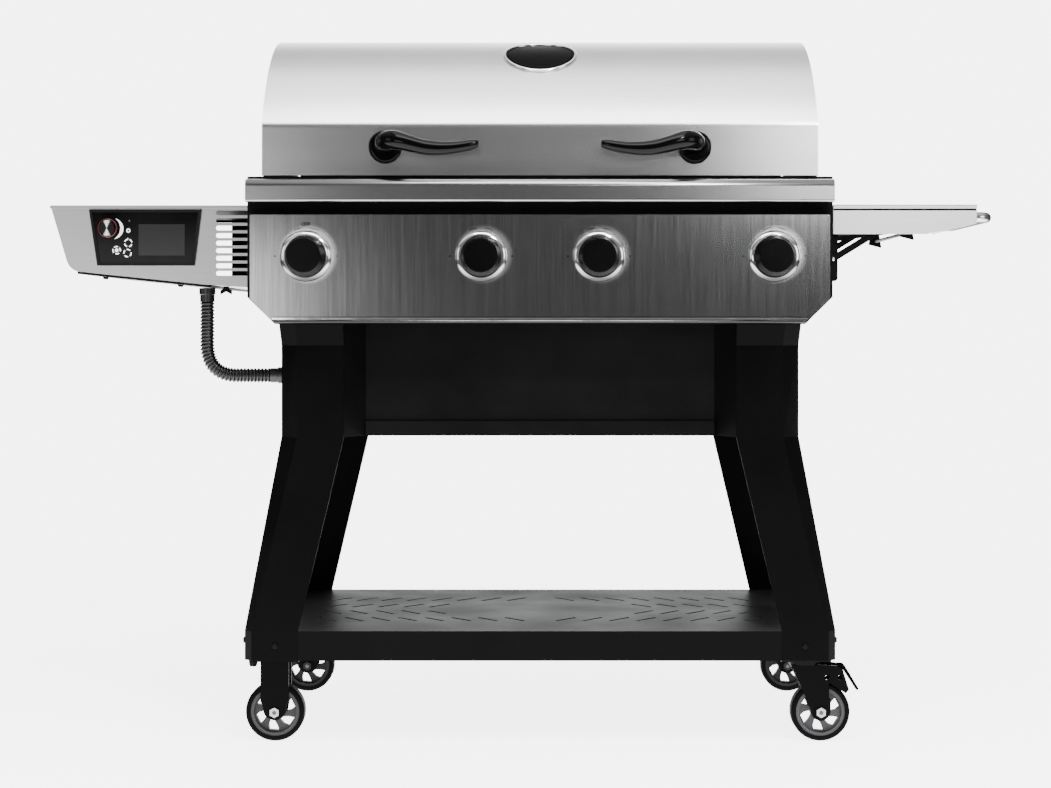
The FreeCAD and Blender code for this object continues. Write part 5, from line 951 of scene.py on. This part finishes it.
def controller_marks():
    """Pale symbols on the controller's glass and on its button."""
    print_y = GLASS_FRONT - PRINT_AND_SHADE_LIFT
    # Middles of three round keys, and how far their dashes are turned
    keys = ((-696.7, 845.2, 20), (-698.0, 828.2, 80), (-716.3, 832.9, 50))
    key_dot = (-697.2, 852.6)
    dial_dot = (-694.7, 882.8)
    dash_turn = 90
    dash_length = 58

    def arc(work):
        arc_band(
            work, DIAL_X, DIAL_Z, inner=20.0, outer=20.6, y=print_y, start=38, end=150, swell=4.6
        )

    def dashes(work):
        for x, z, turn in keys:
            for start in range(turn, turn + FULL_TURN, dash_turn):
                end = start + dash_length
                arc_band(work, x, z, inner=5.2, outer=7.2, y=print_y, start=start, end=end)

    def solids(work):
        x, z, _ = keys[-1]
        arc_band(work, x, z, inner=0.4, outer=3.0, y=print_y)
        arc_band(work, *key_dot, inner=0.2, outer=1.0, y=print_y)

    def dot(work):
        arc_band(work, *dial_dot, inner=0.2, outer=1.5, y=print_y)

    mesh_piece("dial_arc", arc, mark_white, "frame", smooth=False)
    mesh_piece("controller_dashes", dashes, mark_white, "frame", smooth=False)
    mesh_piece("controller_symbols", solids, mark_white, "frame", smooth=False)
    mesh_piece("controller_dot", dot, mark_dim, "frame", smooth=False)

    low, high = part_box("power_button")
    button_x = ((low[0] + high[0]) / 2 - BODY_X) * 1000
    button_z = (low[2] + high[2]) / 2 * 1000
    button_y = (low[1] - BODY_Y) * 1000 - PRINT_AND_SHADE_LIFT

    def ring(work):
        arc_band(work, button_x, button_z, inner=1.7, outer=3.4, y=button_y)

    mesh_piece("power_button_ring", ring, mark_white, "power_button", smooth=False)


def dial_ring():
    """The red ring round the controller dial's skirt."""
    back = 0.0083
    profile = (
        (0.0152, back),
        (0.0160, back + 0.0002),
        (0.0161, back + 0.0014),
        (0.0148, back + 0.0022),
    )

    def build(work):
        lathe(work, profile, at(DIAL_X, GLASS_FRONT, DIAL_Z), FORWARD, loop=True)

    mesh_piece("dial_red_ring", build, dial_red, "controller_dial")


# Fasteners

def fasteners():
    """Screw heads under the left shelf, on the feet and on the struts, and two caster plate nuts."""
    pan_screws = ((-737, -252, 788.0), (-610, -252, 775.0))
    pan_underside = (-0.1, 0, -1)
    for number, place in enumerate(pan_screws):
        screw_head(f"pan_screw_{number}", at(*place), pan_underside, radius=0.005, height=0.004)

    foot_x = 500
    foot_y = 250
    foot_z = 172
    for number, facing in enumerate((-1, 1)):
        for row, y in (("front", -foot_y), ("rear", foot_y)):
            name = f"foot_screw_{row}_{number}"
            place = at(facing * foot_x, y, foot_z)
            screw_head(name, place, (facing, 0, 0), radius=0.0055, height=0.004)

    nut_x = -489
    plate_underside = 137
    for row, y in CASTER_ROWS:
        place = at(nut_x, y, plate_underside)
        screw_head(f"caster_plate_nut_{row}", place, DOWN, radius=0.0075, height=0.012)

    pivot_x = 503
    pivot_z = 820
    pivot_faces = ((-209.8, -1), (149.8, 1))
    for number, (y, facing) in enumerate(pivot_faces):
        screw_head(
            f"strut_pivot_head_{number}", at(pivot_x, y, pivot_z), (0, facing, 0),
            radius=0.0034, height=0.0028, surface=zinc,
        )


def cheek_outline(left, right, left_top, right_top, depth):
    """A tongue round an axle, in millimetres: straight flanks and an oval lower end."""
    flank_top = 24
    spring = 3
    steps = 24
    points = [(left_top, flank_top)]
    for step in range(steps + 1):
        turn = math.pi * (1 + step / steps)
        half = left if math.cos(turn) < 0 else right
        points.append((half * math.cos(turn), spring + (depth + spring) * math.sin(turn)))
    points.append((right_top, flank_top))
    return points


def caster_cheeks():
    """Pressed cheeks over the fork ends, and a small dark disc of painted shade on the front end of
    each bolt, for a recessed centre.
    """
    cheek_back = 18.6
    cheek_front = 19.6
    bolt_face = 24.6
    bolt_centre = ((0.0042, 0.0), (0.0042, 0.0006), (0.0030, 0.0008))
    left_x = -450
    right_x = 476
    left_outline = cheek_outline(left=19.0, right=19.0, left_top=-23.0, right_top=23.0, depth=12.5)
    right_outline = cheek_outline(left=17.0, right=16.5, left_top=-26.0, right_top=16.5, depth=14.5)
    sides = (("left", left_x, left_outline), ("right", right_x, right_outline))
    for row, y in CASTER_ROWS:
        for side, axle_x, outline in sides:
            body = "frame" if side == "left" else f"{row}_right_fork"
            for facing in (-1, 1):
                def plate(work, axle_x=axle_x, y=y, outline=outline, facing=facing):
                    rings = []
                    for depth in (cheek_back, cheek_front):
                        face_y = y + facing * depth
                        rings.append([at(axle_x + x, face_y, AXLE_Z + z) for x, z in outline])
                    loft(work, rings)

                tag = "outer" if (facing < 0) == (row == "front") else "inner"
                name = f"{row}_{side}_cheek_{tag}"
                mesh_piece(name, plate, leg_coat, body, smooth=False)

            # A small disc of painted shade for the bolt's recessed centre
            def centre(work, axle_x=axle_x, y=y):
                lathe(work, bolt_centre, at(axle_x, y - bolt_face, AXLE_Z), FORWARD, segments=24)

            name = f"{row}_{side}_bolt_centre"
            mesh_piece(name, centre, bolt_shade, body, smooth=False)


# Stage, light and camera

def stage():
    """A pale floor that shines a little and fades into the background."""
    half_size = 30.0
    cloud_scale = 2.0
    own_light = 4.5
    fade_start = 1.5
    fade_end = 3.2
    floor = bpy.data.meshes.new("floor")
    work = bmesh.new()
    bmesh.ops.create_grid(work, x_segments=2, y_segments=2, size=half_size)
    work.to_mesh(floor)
    work.free()
    surface = Surface("floor_pale", grey(0.9), roughness=0.8, specular=0.0)
    surface.tint(surface.noise(cloud_scale), dark=grey(0.89), light=grey(0.91))
    surface.glow(grey(1), own_light)
    surface.fade(surface.distance((0, 0, 0), keep=(1, 1, 0)), fade_start, fade_end)
    floor.materials.append(surface.material)
    item = bpy.data.objects.new("floor", floor)
    bpy.context.collection.objects.link(item)


def lamp(name, place, target, width, height, power):
    """A soft rectangular light that is aimed at a target."""
    light = bpy.data.lights.new(name, "AREA")
    light.shape = "RECTANGLE"
    light.size = width
    light.size_y = height
    light.energy = power
    item = bpy.data.objects.new(name, light)
    item.location = place
    aim = Vector(target) - Vector(place)
    item.rotation_euler = aim.to_track_quat("-Z", "Y").to_euler()
    bpy.context.collection.objects.link(item)


def studio():
    """A white room: bright behind, softer above, and dim in front."""
    world = bpy.data.worlds.new("studio")
    bpy.context.scene.world = world
    world.use_nodes = True
    tree = world.node_tree
    place = tree.nodes.new("ShaderNodeTexCoord")
    parts = tree.nodes.new("ShaderNodeSeparateXYZ")
    tree.links.new(place.outputs["Generated"], parts.inputs["Vector"])
    behind = map_range(
        tree, parts.outputs["Y"], low=0.71, high=0.945, to_low=0.17, to_high=6.0, smooth=True
    )
    above = map_range(
        tree, parts.outputs["Z"], low=0.30, high=0.85, to_low=0.0, to_high=1.0, smooth=True
    )
    brighter = tree.nodes.new("ShaderNodeMath")
    brighter.operation = "MAXIMUM"
    tree.links.new(behind, brighter.inputs[0])
    tree.links.new(above, brighter.inputs[1])
    background = tree.nodes["Background"]
    background.inputs["Color"].default_value = (0.98, 0.99, 1.0, 1)
    tree.links.new(brighter.outputs["Value"], background.inputs["Strength"])


def lamps():
    """Two softboxes overhead, one small bright lamp, and soft cards to both sides."""
    lamp(
        "front_softbox", place=(0.0, -1.8, 3.5), target=(0, -0.2, 1.0),
        width=2.0, height=1.3, power=80,
    )
    lamp(
        "long_softbox", place=(0.0, -0.75, 3.8), target=(0, -0.75, 0),
        width=2.0, height=2.9, power=47,
    )
    lamp(
        "spark", place=(1.0, -2.4, 2.6), target=(0.1, -0.3, 0.95),
        width=0.35, height=0.18, power=55,
    )
    lamp(
        "left_card", place=(-1.50, -3.4, 0.70), target=(-0.6, -0.3, 0.8),
        width=1.3, height=0.6, power=17,
    )
    lamp(
        "right_card", place=(1.28, -3.4, 1.50), target=(0.6, -0.3, 0.95),
        width=1.1, height=0.7, power=26,
    )
    lamp(
        "left_side_card", place=(-2.9, -1.7, 1.2), target=(0, -0.3, 0.9),
        width=1.2, height=1.4, power=10,
    )
    lamp(
        "right_side_card", place=(2.9, -1.7, 1.2), target=(0, -0.3, 0.9),
        width=1.2, height=1.4, power=22,
    )


def camera():
    """The camera that took the photograph: level, and shifted to the photograph's frame."""
    data = bpy.data.cameras.new("photo_camera")
    data.sensor_width = SENSOR_WIDTH
    data.lens = SENSOR_WIDTH * FOCAL_PIXELS / PHOTO_WIDTH
    data.shift_x = (PHOTO_WIDTH / 2 - EYE_PIXEL_X) / PHOTO_WIDTH
    data.shift_y = (EYE_PIXEL_Y - PHOTO_HEIGHT / 2) / PHOTO_WIDTH
    item = bpy.data.objects.new("photo_camera", data)
    item.location = (BODY_X + CAMERA_RIGHT, BODY_Y - CAMERA_FRONT, CAMERA_HEIGHT)
    item.rotation_euler = (math.radians(90), 0, 0)
    bpy.context.collection.objects.link(item)
    bpy.context.scene.camera = item


camera()
conduit()
paint_nodes()
paint_wheels()
paint_axles()
paint_dial()
paint_left_shelf()
paint_hood()
paint_bottom_shelf()
paint_panel()
for folded in ("front_rail", "control_panel", "left_shelf", "right_shelf", "front_legs", "rear_legs"):
    soften(folded)
badge()
hood_gasket()
folding_shelf_painted_shade()
panel_hem()
knob_marks()
controller_marks()
dial_ring()
fasteners()
caster_cheeks()
stage()
studio()
lamps()
